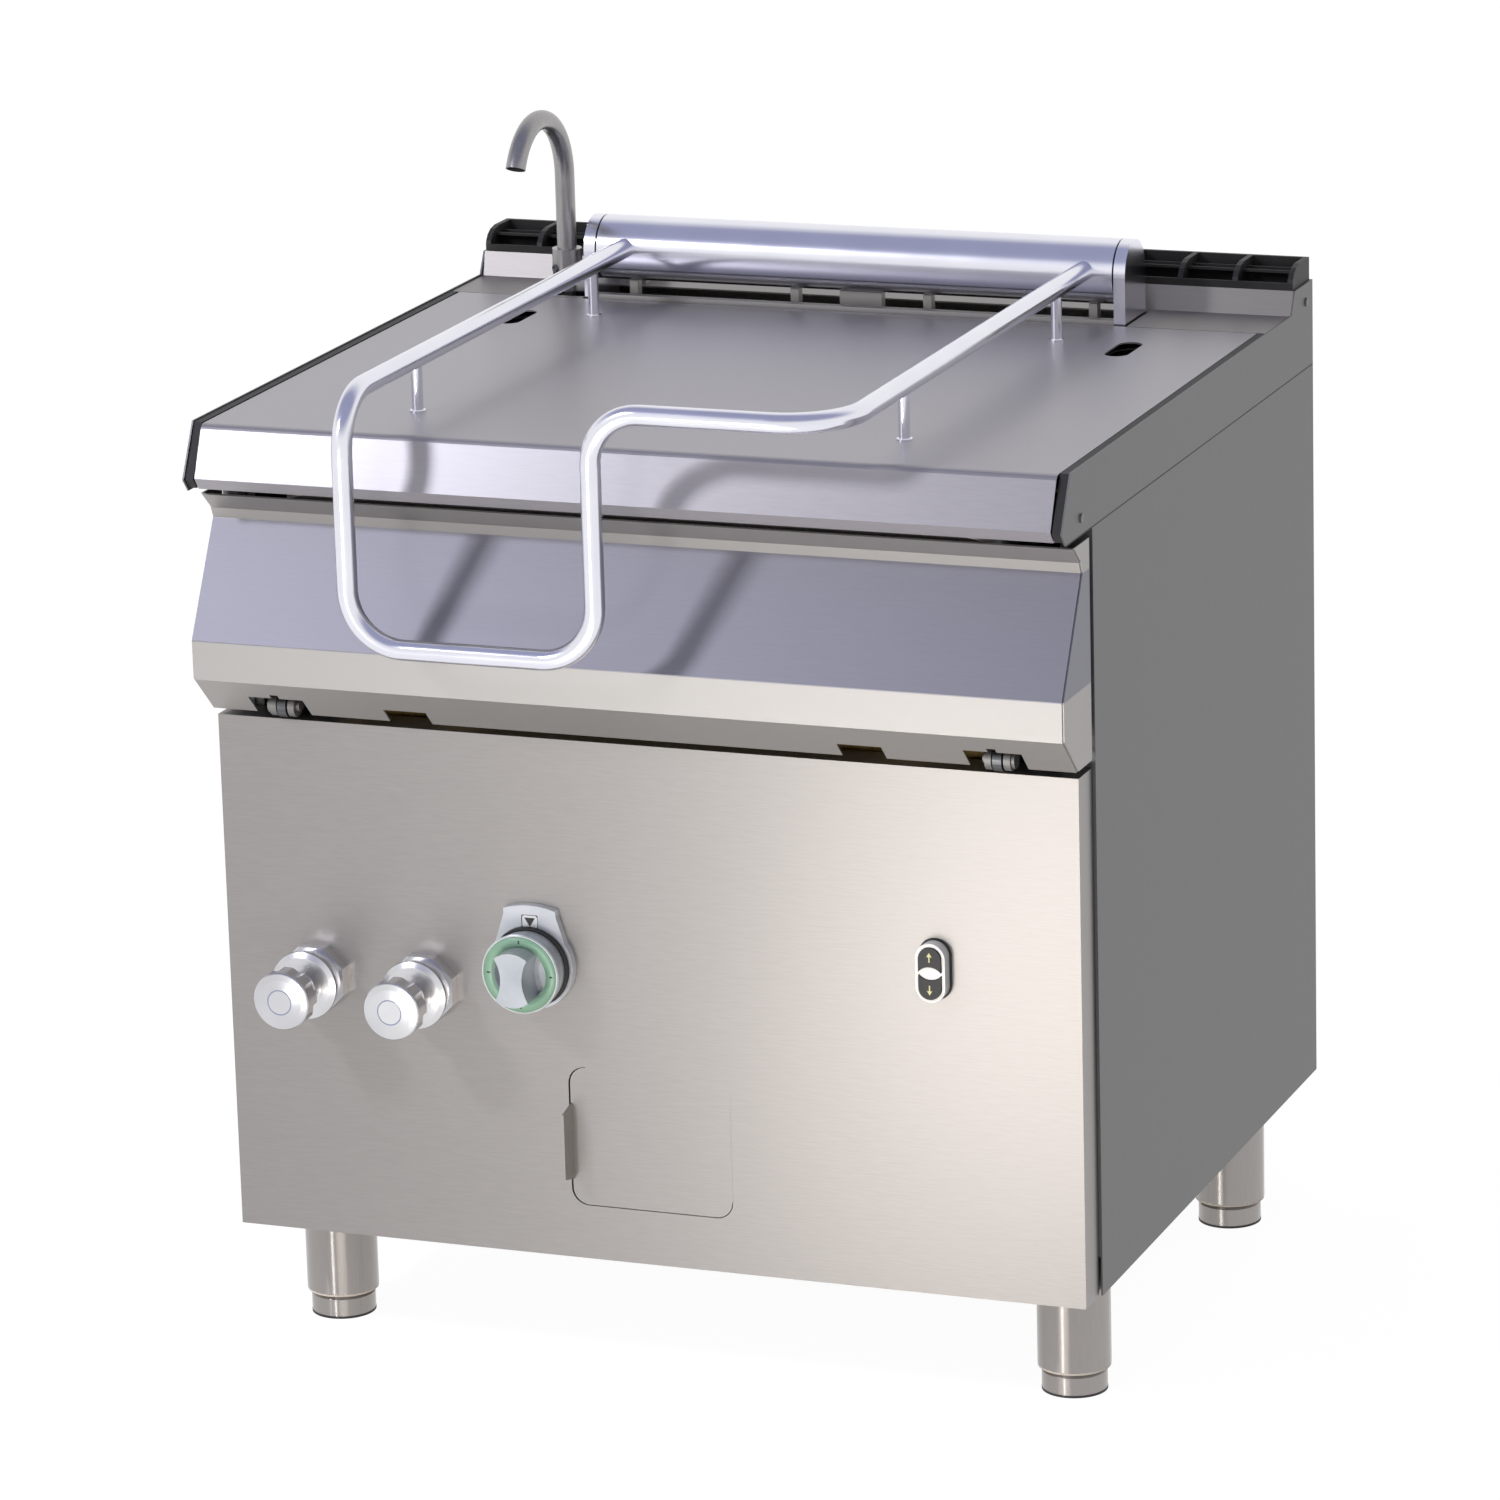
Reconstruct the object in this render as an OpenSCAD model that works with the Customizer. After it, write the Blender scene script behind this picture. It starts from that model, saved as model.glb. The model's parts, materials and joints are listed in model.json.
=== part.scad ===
// Tilting bratt pan. The vessel, its front apron and the lid hinge tip forward together about
// an axis behind the foot of the apron, and the lid opens about the round hinge at the back.
// The modules are drawn with x to the right, y backwards from the front panel's face and
// z up from the floor. The module placed() then centres the depth.

/* [Cabinet] */
// Width over the side panels
unit_w = 800; // [790:1:820]
// Depth from the front panel's face to the back
unit_d = 689; // [685:1:740]
// Height of the closed lid over the floor
lid_z = 852; // [840:1:900]
// Height of the panels' lower edge over the floor
panel_z = 114; // [100:1:125]
// Thickness of the sheet steel
sheet = 1.5; // [1:0.1:2]
// Side of the frame's square tubes
tube_w = 28; // [24:1:30]
// Height of the base frame's channels
channel_h = 30; // [24:1:40]

/* [Feet] */
// Diameter of the leg tubes
leg_d = 65; // [55:1:70]
// Diameter of the foot pads
foot_d = 58; // [40:1:64]
// Height of the foot pads
foot_h = 22; // [12:1:24]
// Distance from a side to a leg's centre
leg_in = 50; // [45:1:80]
// Distance from the front to the front legs' centre
leg_front = 107; // [95:1:140]
// Distance from the back to the rear legs' centre
leg_back = 119; // [95:1:160]
// Diameter of the levelling screws
screw_d = 20; // [16:1:24]

/* [Vessel] */
// Room from the outside of a side panel to the vessel's body
vessel_in = 70; // [68:1:90]
// Height of the vessel under its rim
vessel_h = 198; // [180:1:200]
// Wall of the vessel
vessel_t = 3; // [2:0.5:4]
// Thickness of the plate under the vessel
floor_t = 10; // [6:1:12]
// Distance of the tilt axis in front of the panel's face
tilt_y = 3; // [2:0.5:4]
// Diameter of the tilt pins
pin_d = 10; // [8:1:12]

/* [Drive] */
// Module of the gear teeth
gear_m = 3; // [3]
// Teeth on the pinion
pinion_n = 16; // [16]
// Teeth that a full turn of the quadrant would have
quadrant_n = 200; // [200]
// Thickness of the quadrant's plate
quadrant_t = 10; // [6:1:10]
// Diameter of the pinion's shaft
shaft_d = 14; // [10:1:20]

/* [Lid] */
// Gap between the lid's sides and the side panels' outer faces
lid_in = 10.8; // [10.5:0.1:12]
// Depth of the skin under the lid
skin_h = 9; // [6:0.5:10]
// Length of a slot in the lid
slot_l = 61; // [60:1:64]
// Width of a slot in the lid
slot_w = 22; // [20:0.5:26]

/* [Hinge] */
// Diameter of the lid's hinge cylinder
hinge_d = 60; // [54:1:64]
// Wall of the hinge cylinder
hinge_t = 3; // [2:0.5:4]
// Height of the hinge axis over the lid
hinge_rise = 43.5; // [42:0.5:46]
// Depth of the hinge axis behind the front panel's face
hinge_back = 106.5; // [105:0.5:108]
// Half the distance over the hinge brackets
hinge_x = 264; // [258:1:265]
// Thickness of a hinge bracket
bracket_t = 11; // [8:1:14]
// Diameter of the hinge's stub axles
axle_d = 20; // [16:1:24]

/* [Handle] */
// Diameter of the handle tube
handle_d = 18; // [14:1:22]
// Wall of the handle tube
handle_t = 1.5; // [1:0.1:2.5]
// Half the distance between the handle's arms
handle_x = 224; // [210:1:235]
// Reach of the handle in front of the front panel's face
handle_front = 95; // [90:1:110]
// Drop of the handle's loop
handle_drop = 217; // [180:1:225]
// Place of the loop's right side
loop_x = 3; // [-20:1:20]
// Diameter of the handle's posts
post_d = 10; // [8:1:14]

/* [Tap] */
// Diameter of the spout's tube
tap_d = 18.4; // [16:0.1:19]
// Distance of the spout to the left of the middle
tap_x = 293; // [290:1:296]
// Radius of the spout's hook
hook_r = 61; // [60:0.5:62]
// Height of the hook's centre over the lid
hook_rise = 110; // [108:1:112]
// Wall of the spout's tube
tap_t = 1.2; // [1:0.1:2]

/* [Controls] */
// Distance of the left water valve to the left of the middle
valve_x = 312; // [300:1:325]
// Distance between the water valves
valve_pitch = 104.5; // [90:0.5:115]
// Height of the water valves over the floor
valve_z = 352.5; // [340:0.5:365]
// Diameter of the water knobs
valve_knob_d = 52; // [44:1:58]
// Distance of the gas knob to the left of the middle
gas_x = 104; // [95:1:115]
// Height of the gas knob over the floor
gas_z = 381.5; // [376:0.5:400]
// Diameter of the gas knob
gas_knob_d = 72; // [60:1:74]
// Distance of the tilt switch to the right of the middle
switch_x = 266; // [240:1:280]
// Height of the tilt switch over the floor
switch_z = 408; // [395:1:425]
// Travel of the tilt switch's buttons
button_travel = 3; // [2:0.5:3]
// Width of the access flap
flap_w = 149; // [140:1:155]
// Height of the access flap
flap_h = 126; // [110:1:128]
// Height of the access flap's lower edge over the floor
flap_z = 164; // [160:1:168]

/* [Clearances] */
// Gap between a shaft or pin and its hole, on the radius
run = 0.05; // [0.02:0.01:0.1]
// Gap of a seat that parts when a piece moves
seat = 0.3; // [0.2:0.1:0.5]
// Gap around a piece that moves in a cut-out
play = 0.8; // [0.6:0.1:1]

/* [Hidden] */

// Width, height and depth of the cabinet
half = unit_w / 2;
inner = half - sheet;                    // inner faces of the side panels
front_top = lid_z - 266;                 // top of the front panel
side_top = lid_z - 57;                   // seam between the side panels and the cheeks
hinge_y = unit_d - hinge_back;
rear_top = lid_z + 22;                   // top of the raised back
side_front = 37;                         // front edge of the side panels
return_y = 36;                           // depth of the front panel's folded sides
handle_y = -handle_front;
mid_y = (unit_d + handle_y - handle_d / 2) / 2;

// Base
frame_x = half - 5;
frame_y = [3, unit_d - 4];
frame_z = panel_z + 2;
tray_z = frame_z + channel_h;
floor_z = tray_z + sheet;
flange_w = tube_w - 8;                   // folded edges of the side panels
post_y = [side_front + 3, unit_d - 2 * sheet - tube_w];
leg_pos = [[half - leg_in, leg_front], [half - leg_in, unit_d - leg_back]];
leg_bottom = foot_h + 2;
leg_flange = 3;

// Rear deck
deck_y = unit_d - 139.5;
upstand_y = unit_d - 64;
upstand_run = 8;
opening_x = hinge_x + 2;
opening_back = unit_d - 73;
plinth_x = hinge_x - 32;

// Tilt axis and vessel
tilt_z = front_top + 14;
lug_r = pin_d / 2 + 5;
eye_t = 8;
eye_x = half - 70.6 - eye_t / 2;
lug_t = 6;
lug_gap = 1.5;
vessel_x = half - vessel_in;
vessel_back = unit_d - 149;
vessel_front = 58;
lip_y = -5;
rim_z = lid_z - 14;
vessel_z = rim_z - vessel_h;
rim_x = half - 14;
rim_back = vessel_back + 6;
rim_front = -12;
beam_y = 30;
beam_x = eye_x + eye_t + lug_gap + lug_t - 0.9;
beam_z = [vessel_z + 10, vessel_z + 60];
bracket_back = hinge_y + hinge_d / 2;
bracket_front = hinge_y - hinge_d / 2;
bracket_z = lid_z - 72;
riser_y = bracket_front + 0.5;

// Folded line of the apron, from the lip down to the tilt axis, in depth and height
apron_line = [[-8.8, lid_z - 64.7], [9, lid_z - 80.6], [13.5, lid_z - 91.1],
    [-41.4, lid_z - 189.1], [-41.3, lid_z - 223.2], [-5.5, lid_z - 257.7]];
apron_x = half - 1;
notch_w = [52, 40];
notch_x = [half - 70.6, half - 191];
notch_top = [lid_z - 241, lid_z - 245];

// Front edge of the lid, of the cheeks and of the seal between them
lid_x = half - lid_in;
lid_back = unit_d - 141;
lid_front = [[-19.4, lid_z], [-40.9, lid_z - 44.4], [-33, lid_z - 55], [-18, lid_z - 54.5]];
cheek_line = [[-17.6, lid_z + 1.5], [-42.8, lid_z - 45.5], [-33.4, side_top]];
seal_line = [[lid_back, lid_z + 0.5], [-16.5, lid_z + 0.5], [-41, lid_z - 45.5], [-33, side_top + 2.5]];
seal_t = 7;
seal_x = [lid_x + 1.3, inner - 0.3];
hinge_z = lid_z + hinge_rise;
hinge_in = hinge_x - bracket_t;
cylinder_x = hinge_in - 1.5;
plug_t = 10;
arm_z = hinge_z + 4.5;
slot_y = unit_d - 232;

// Quadrant and pinion
pitch_r = gear_m * quadrant_n / 2;
pinion_r = gear_m * pinion_n / 2;
mesh_a = 2;                              // angle of the pinion over the tilt axis
mesh_r = pitch_r + pinion_r;
pinion_y = mesh_r * cos(mesh_a) - tilt_y;
pinion_z = tilt_z + mesh_r * sin(mesh_a);
quadrant_x = vessel_x + 14;
motor_x = quadrant_x + quadrant_t + 2;
pressure_a = 20;
tooth_play = 0.25;
first_tooth = -44;

// Chamber of the burners
chamber_x = vessel_x - 12;
chamber_y = [70, unit_d - 184];
chamber_z = [vessel_z - 160, vessel_z - 8];
burner_z = vessel_z - 50;
burner_d = 28;
burner_n = 5;
burner_pitch = 120;

// Controls
valve_places = [-valve_x, valve_pitch - valve_x];
knob_front = 82;
button_w = 20.4;
button_h = 46;
switch_edge = 3.2;
lens_h = 12;
flap_x = 75;
flap_pin = [flap_x + 25, 9];
riser_x = vessel_x + 15;

// Helpers
module placed() { translate([0, -mid_y, 0]) children(); }
module pair() { children(); mirror([1, 0, 0]) children(); }
module box(x, y, z) { translate([x[0], y[0], z[0]]) cube([x[1] - x[0], y[1] - y[0], z[1] - z[0]]); }
module rod_x(x, y, z, r) { translate([x[0], y, z]) rotate([0, 90, 0]) cylinder(h = x[1] - x[0], r = r, $fn = 48); }
module rod_y(x, y, z, r) { translate([x, y[1], z]) rotate([90, 0, 0]) cylinder(h = y[1] - y[0], r = r, $fn = 48); }
module rod_z(x, y, z, r) { translate([x, y, z[0]]) cylinder(h = z[1] - z[0], r = r, $fn = 48); }
module along_x(x) { translate([x[0], 0, 0]) rotate([90, 0, 90]) linear_extrude(x[1] - x[0]) children(); }
module along_y(y) { translate([0, y[1], 0]) rotate([90, 0, 0]) linear_extrude(y[1] - y[0]) children(); }
function unit(v) = v / norm(v);
function left_of(a, b) = let (d = unit(b - a)) [-d.y, d.x];
function mitre(p, i) = i == 0 ? left_of(p[0], p[1])
    : i == len(p) - 1 ? left_of(p[i - 1], p[i])
    : let (n = left_of(p[i - 1], p[i]), m = left_of(p[i], p[i + 1])) (n + m) / (1 + n * m);
function beside(p, t) = [for (i = [0 : len(p) - 1]) p[i] + t * mitre(p, i)];
function backwards(p) = [for (i = [len(p) - 1 : -1 : 0]) p[i]];
function folded(p, t) = concat(p, backwards(beside(p, t)));
// A pipe through square corners, with an elbow fitting at each
module pipe(p, r) {
    for (i = [1 : len(p) - 1]) {
        d = p[i] - p[i - 1];
        translate(p[i - 1]) rotate([0, acos(d.z / norm(d)), atan2(d.y, d.x)])
            cylinder(h = norm(d), r = r, $fn = 32);
    }
    for (i = [1 : 1 : len(p) - 2]) translate(p[i]) sphere(r + 2, $fn = 32);
}
// A quarter bend of a tube in the plane of local x and y, about the local origin
module bend(bend_r, r) { rotate_extrude(angle = 90, $fn = 96) translate([bend_r, 0]) circle(r, $fn = 32); }

// Base and frame
module base_frame() {
    color("silver") placed() {
        difference() {
            box([-frame_x, frame_x], frame_y, [frame_z, tray_z]);
            box([-frame_x + 30, frame_x - 30], [frame_y[0] + 30, frame_y[1] - 30], [frame_z - 1, tray_z + 1]);
            box([-frame_x + 2, frame_x - 2], [frame_y[0] + 2, frame_y[1] - 2], [frame_z + 2, tray_z - 2]);
        }
        pair() for (p = leg_pos)
            box([p.x - 45, frame_x - 1], [p.y - 45, p.y + 45], [frame_z, frame_z + 2]);
    }
}
module base_tray() {
    color("silver") placed() difference() {
        box([-frame_x, frame_x], frame_y, [tray_z, floor_z]);
        for (p = inlet_places) rod_z(p.x, p.y, [tray_z - 1, floor_z + 1], inlet_r + 0.5);
    }
}
module corner_posts() {
    color("gray") placed() pair() for (i = [0, 1]) {
        top = i == 0 ? side_top - 5 : lid_z - sheet;
        difference() {
            box([inner - tube_w, inner], [post_y[i], post_y[i] + tube_w], [floor_z, top]);
            box([inner - tube_w + 2, inner - 2], [post_y[i] + 2, post_y[i] + tube_w - 2], [floor_z - 1, top + 1]);
        }
    }
}
module square_tube(x, y, z) {
    difference() {
        box(x, y, z);
        box([x[0] - 1, x[1] + 1], [y[0] + 2, y[1] - 2], [z[0] + 2, z[1] - 2]);
    }
}
// The rail behind the front panel's top, and the two that carry the burner chamber
module cross_rails() {
    color("gray") placed() {
        rail_x = inner - flange_w - 2;
        square_tube([-rail_x, rail_x], [8, post_y[0]], [front_top - sheet - 30, front_top - sheet]);
        for (y = [chamber_y[0] + 30, chamber_y[1] - 65])
            square_tube([-inner, inner], [y, y + 30], [chamber_z[0] - 30, chamber_z[0]]);
    }
}
rest_x = [235, 265];
rest_z = vessel_z - seat - 7;
module rear_cross_rail() {
    color("gray") placed() {
        square_tube([-inner, inner], [post_y[1] - 30, post_y[1]], [vessel_z - 40, vessel_z - 10]);
        pair() box(rest_x, [vessel_back - 28, post_y[1] - 30], [vessel_z - 38, rest_z]);
    }
}
module rest_pads() {
    color("black") placed() pair()
        box(rest_x, [vessel_back - 26, vessel_back - 4], [rest_z, vessel_z - seat]);
}
module leg_tubes() {
    bush_z = leg_bottom + 22;
    color("gainsboro") placed() pair() for (p = leg_pos) {
        difference() {
            union() {
                rod_z(p.x, p.y, [leg_bottom, frame_z - 1], leg_d / 2);
                box([p.x - 40, p.x + 40], [p.y - 40, p.y + 40], [frame_z - leg_flange, frame_z]);
            }
            rod_z(p.x, p.y, [leg_bottom - 1, frame_z - leg_flange], leg_d / 2 - 2);
        }
        difference() {
            rod_z(p.x, p.y, [leg_bottom + 2, bush_z], leg_d / 2 - 2 - run);
            rod_z(p.x, p.y, [leg_bottom, bush_z + 1], screw_d / 2 + run);
        }
    }
}
module foot(sx, i) {
    p = leg_pos[i];
    color("gainsboro") placed() translate([sx * p.x, p.y, 0]) rotate_extrude($fn = 64) polygon([[0, 0],
        [foot_d / 2 - 1, 0], [foot_d / 2, 1], [foot_d / 2, foot_h - 4], [foot_d / 2 - 4, foot_h],
        [screw_d / 2, foot_h], [screw_d / 2, foot_h + 44], [0, foot_h + 44]]);
}
module foot_front_left() { foot(-1, 0); }
module foot_front_right() { foot(1, 0); }
module foot_rear_left() { foot(-1, 1); }
module foot_rear_right() { foot(1, 1); }

// Panels
module side_panel() {
    box([inner, half], [side_front, unit_d], [panel_z, side_top]);
    box([inner - flange_w, inner], [side_front, side_front + sheet], [floor_z + 2, side_top]);
    box([inner - flange_w, inner], [unit_d - 2 * sheet, unit_d - sheet], [floor_z + 2, side_top]);
}
module side_panel_right() { color("dimgray") placed() side_panel(); }
module side_panel_left() { color("dimgray") placed() mirror([1, 0, 0]) side_panel(); }
// An upright stadium of the given width and height, in x and z
module stadium(w, h, cut = 0) {
    for (s = [-1, 1]) translate([0, s * (h - w) / 2]) circle(w / 2 + cut, $fn = 64);
    square([w + 2 * cut, h - w], center = true);
}
// Rounded oblong, as one outline
module rounded(w, h, r) {
    square([w - 2 * r, h], center = true);
    square([w, h - 2 * r], center = true);
    for (x = [-1, 1], y = [-1, 1]) translate([x * (w / 2 - r), y * (h / 2 - r)]) circle(r, $fn = 32);
}
panel_x = half - 3;
module front_panel() {
    color("lightgray") placed() difference() {
        union() {
            box([-panel_x, panel_x], [0, sheet], [panel_z, front_top]);
            pair() box([panel_x - sheet, panel_x], [0, return_y], [panel_z, front_top]);
            box([-panel_x, panel_x], [0, return_y], [front_top - sheet, front_top]);
            box([-panel_x, panel_x], [0, return_y - 3], [panel_z, panel_z + sheet]);
        }
        for (x = valve_places) rod_y(x, [-1, sheet + 1], valve_z, valve_stem + 0.5);
        rod_y(-gas_x, [-1, sheet + 1], gas_z, gas_shaft + 1);
        for (s = [-1, 1]) rod_y(switch_x, [-1, sheet + 1], switch_z + s * button_at, button_stem + play);
        // The flap's opening is a little wider on the side of its pull tab
        translate([-play / 2, 0, flap_z + (flap_h - play / 2) / 2]) along_y([-1, sheet + 1])
            rounded(flap_w + 3 * play, flap_h + 1.5 * play, 15 + play);
        pair() box([eye_x - play, eye_x + eye_t + play], [8, 34], [front_top - sheet - 1, front_top + 1]);
    }
}
module rear_panel() {
    slots_z = panel_z + 120;
    color("silver") placed() difference() {
        box([-inner + 0.5, inner - 0.5], [unit_d - sheet, unit_d], [panel_z, lid_z - sheet]);
        for (x = [-3 : 3], i = [0 : 4])
            box([x * 80 - 25, x * 80 + 25], [unit_d - sheet - 1, unit_d + 1],
                [slots_z + i * 20, slots_z + i * 20 + 6]);
    }
}
module cheek() {
    difference() {
        along_x([inner, half]) polygon(concat(cheek_line, [[unit_d, side_top], [unit_d, rear_top],
            [upstand_y + upstand_run, rear_top], [upstand_y - 3, lid_z + 1.5]]));
        for (p = cheek_screw_at) rod_x([inner - 1, half + 1], p.x, p.y, 2.1);
    }
    along_x([seal_x[0], inner]) polygon(folded(beside(seal_line, seal_t), sheet));
}
cheek_screw_at = [[7.5, lid_z - 42.5], [unit_d - 21.3, lid_z + 4.9]];
module cheeks() { color("dimgray") placed() pair() cheek(); }
module lid_seals() {
    color([0.12, 0.12, 0.12]) placed() pair() along_x(seal_x) polygon(folded(seal_line, seal_t));
}
module cheek_screws() {
    color("silver") placed() pair() for (p = cheek_screw_at) {
        rod_x([inner - 2, half + 0.5], p.x, p.y, 2);
        rod_x([half, half + 1.6], p.x, p.y, 4);
    }
}
module rear_deck() {
    deck_x = inner - 0.3;
    line = [[deck_y, lid_z], [upstand_y, lid_z], [upstand_y + upstand_run, rear_top], [unit_d, rear_top],
        [unit_d, lid_z - sheet]];
    raised = [[opening_back, lid_z], line[1], line[2], line[3], line[4]];
    color("lightgray") placed() difference() {
        union() {
            pair() along_x([opening_x, deck_x]) polygon(folded(line, -sheet));
            pair() along_x([plinth_x, opening_x]) polygon(folded(raised, -sheet));
            pair() along_x([plinth_x, plinth_x + sheet]) polygon([[opening_back, lid_z],
                [upstand_y, lid_z], [upstand_y + upstand_run, rear_top], [unit_d, rear_top],
                [unit_d, lid_z - sheet], [opening_back, lid_z - sheet]]);
            box([-plinth_x - sheet, plinth_x + sheet], [opening_back, unit_d], [lid_z - sheet, lid_z]);
        }
        pair() box([plenum_x[0] + 8, plenum_x[1] - 2], [plenum_y[0] + 4, plenum_y[1] - 4], [lid_z, rear_top + 1]);
        box([-tap_x - 11, -opening_x + 1], [deck_y + 7, deck_y + 57], [lid_z - 5, lid_z + 1]);
    }
}

// Flues
plenum_x = [plinth_x + 6, inner - 5];
plenum_y = [upstand_y + 13, unit_d - 4];
duct_x = [opening_x + 10, inner - tube_w - 4];
grate_x = [plinth_x + 4, half - 2.5];
grate_y = [upstand_y + upstand_run + 1, unit_d - 2];
lip_h = 6.5;
module flue_grate() {
    bay = (grate_x[1] - grate_x[0] - 5) / 3;
    y = grate_y;
    difference() {
        along_x(grate_x) polygon([[y[0], rear_top], [y[0], rear_top + lip_h], [y[0] + 1, rear_top + 10],
            [y[0] + 5, rear_top + 15], [y[0] + 12, rear_top + 19], [y[0] + 22, rear_top + 21], [y[1], rear_top + 21],
            [y[1], rear_top]]);
        for (i = [0 : 2]) let (x = [grate_x[0] + 5 + i * bay, grate_x[0] + (i + 1) * bay]) {
            box(x, [y[0] + 3, y[1] - 4], [rear_top - 1, rear_top + 30]);
            box(x, [y[0] - 1, y[0] + 4], [rear_top + lip_h, rear_top + 30]);
        }
    }
    // Curved vanes across the bays
    for (v = [16, 30]) along_x([grate_x[0] + 2, grate_x[1] - 2]) translate([y[0] + v, rear_top + 1])
        intersection() {
            difference() {
                circle(14, $fn = 48);
                circle(11.5, $fn = 48);
            }
            square([20, 20]);
        }
}
module flue_grate_right() { color([0.1, 0.1, 0.1]) placed() flue_grate(); }
module flue_grate_left() { color([0.1, 0.1, 0.1]) placed() mirror([1, 0, 0]) flue_grate(); }
module flue_shape(t) {
    top = t == 0 ? rear_top - sheet : rear_top;
    box([plenum_x[0] + t, plenum_x[1] - t], [plenum_y[0] + t, plenum_y[1] - t], [lid_z - sheet + t, top]);
    box([duct_x[0] + t, duct_x[1] - t], [unit_d - 29 + t, unit_d - 5 - t], [chamber_z[0] + 20 + t, lid_z]);
    box([duct_x[0] + t, chamber_x - t], [chamber_y[1] - t, unit_d - 5 - t], [chamber_z[0] + 20 + t, chamber_z[0] + 80 - t]);
}
module flue_ducts() {
    color("silver") placed() pair() difference() {
        flue_shape(0);
        flue_shape(1.2);
    }
}

// Burners, gas and water
module burner_chamber() {
    color("silver") placed() difference() {
        box([-chamber_x, chamber_x], chamber_y, chamber_z);
        box([-chamber_x + 1.5, chamber_x - 1.5], [chamber_y[0] + 1.5, chamber_y[1] - 1.5],
            [chamber_z[0] + 1.5, chamber_z[1] + 1]);
        for (i = [0 : burner_n - 1]) rod_y(burner_at(i), [chamber_y[0] - 1, chamber_y[0] + 3], burner_z, burner_d / 2 + run);
        pair() box([duct_x[0] + 1.2, chamber_x - 3], [chamber_y[1] - 3, chamber_y[1] + 1],
            [chamber_z[0] + 22, chamber_z[0] + 78]);
    }
}
function burner_at(i) = (i - (burner_n - 1) / 2) * burner_pitch;
module burners() {
    color("darkgray") placed() {
        for (i = [0 : burner_n - 1]) difference() {
            rod_y(burner_at(i), [manifold_y[1], chamber_y[1] - 1.5], burner_z, burner_d / 2);
            rod_y(burner_at(i), [manifold_y[1] - 1, chamber_y[1] - 4], burner_z, burner_d / 2 - 1.5);
            for (k = [0 : 7]) box([burner_at(i) - 8, burner_at(i) + 8],
                [chamber_y[0] + 40 + k * 45, chamber_y[0] + 43 + k * 45], [burner_z + 8, burner_z + 20]);
        }
        // Pilot burner with its igniter
        box([52, 74], [chamber_y[0] + 1.5, chamber_y[0] + 16], [burner_z - 5, burner_z + 15]);
        rod_z(58, chamber_y[0] + 10, [burner_z + 14, burner_z + 32], 3);
        rod_z(68, chamber_y[0] + 10, [burner_z + 14, burner_z + 28], 2);
    }
}
manifold_y = [44, 58];
module gas_manifold() {
    color("goldenrod") placed() difference() {
        box([-burner_pitch * burner_n / 2, burner_pitch * burner_n / 2], manifold_y, [burner_z - 7, burner_z + 7]);
        for (i = [0 : burner_n - 1]) rod_y(burner_at(i), [manifold_y[1] - 6, manifold_y[1] + 1], burner_z, 2);
    }
}
gas_shaft = 4;
gas_body = 50;
module gas_valve() {
    color("goldenrod") placed() difference() {
        box([-gas_x - gas_body / 2, -gas_x + gas_body / 2], [sheet, sheet + 48], [gas_z - gas_body / 2, gas_z + gas_body / 2]);
        rod_y(-gas_x, [0, 16], gas_z, gas_shaft + run);
    }
}
gas_y = 27;
inlet_y = unit_d - 89;
gas_inlet = [200, inlet_y];
cold_inlet = [-240, inlet_y];
hot_inlet = [-180, inlet_y];
cable_place = [100, inlet_y];
inlet_places = [gas_inlet, cold_inlet, hot_inlet, cable_place];
inlet_r = 10.48;
gas_level = flap_z + flap_h + 32;
module gas_pipes() {
    color("goldenrod") placed() {
        pipe([[gas_inlet.x, inlet_y, floor_z + 10], [gas_inlet.x, inlet_y, gas_level], [gas_inlet.x, gas_y, gas_level],
            [-gas_x, gas_y, gas_level], [-gas_x, gas_y, gas_z - gas_body / 2]], 7);
        pipe([[-gas_x, gas_y, gas_z + gas_body / 2], [-gas_x, gas_y, gas_z + 120], [-gas_x, manifold_y[1] - 7, gas_z + 120],
            [-gas_x, manifold_y[1] - 7, burner_z - 7]], 7);
    }
}
valve_back = 50;
valve_stem = 9;
mix_z = valve_z + 78;
module water_pipes() {
    cold_z = floor_z + 45;
    hot_z = floor_z + 70;
    color("sandybrown") placed() {
        pipe([[cold_inlet.x, inlet_y, floor_z + 10], [cold_inlet.x, inlet_y, cold_z], [cold_inlet.x, gas_y, cold_z],
            [valve_places[0], gas_y, cold_z], [valve_places[0], gas_y, valve_z - 20]], 6);
        pipe([[hot_inlet.x, inlet_y, floor_z + 10], [hot_inlet.x, inlet_y, hot_z], [hot_inlet.x, gas_y, hot_z],
            [valve_places[1], gas_y, hot_z], [valve_places[1], gas_y, valve_z - 20]], 6);
        pipe([[valve_places[1], gas_y, valve_z + 20], [valve_places[1], gas_y, mix_z], [-riser_x, gas_y, mix_z],
            [-riser_x, inlet_y, mix_z], [-riser_x, inlet_y, lid_z - 132]], 6);
        pipe([[valve_places[0], gas_y, valve_z + 20], [valve_places[0], gas_y, mix_z]], 6);
    }
}
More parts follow.
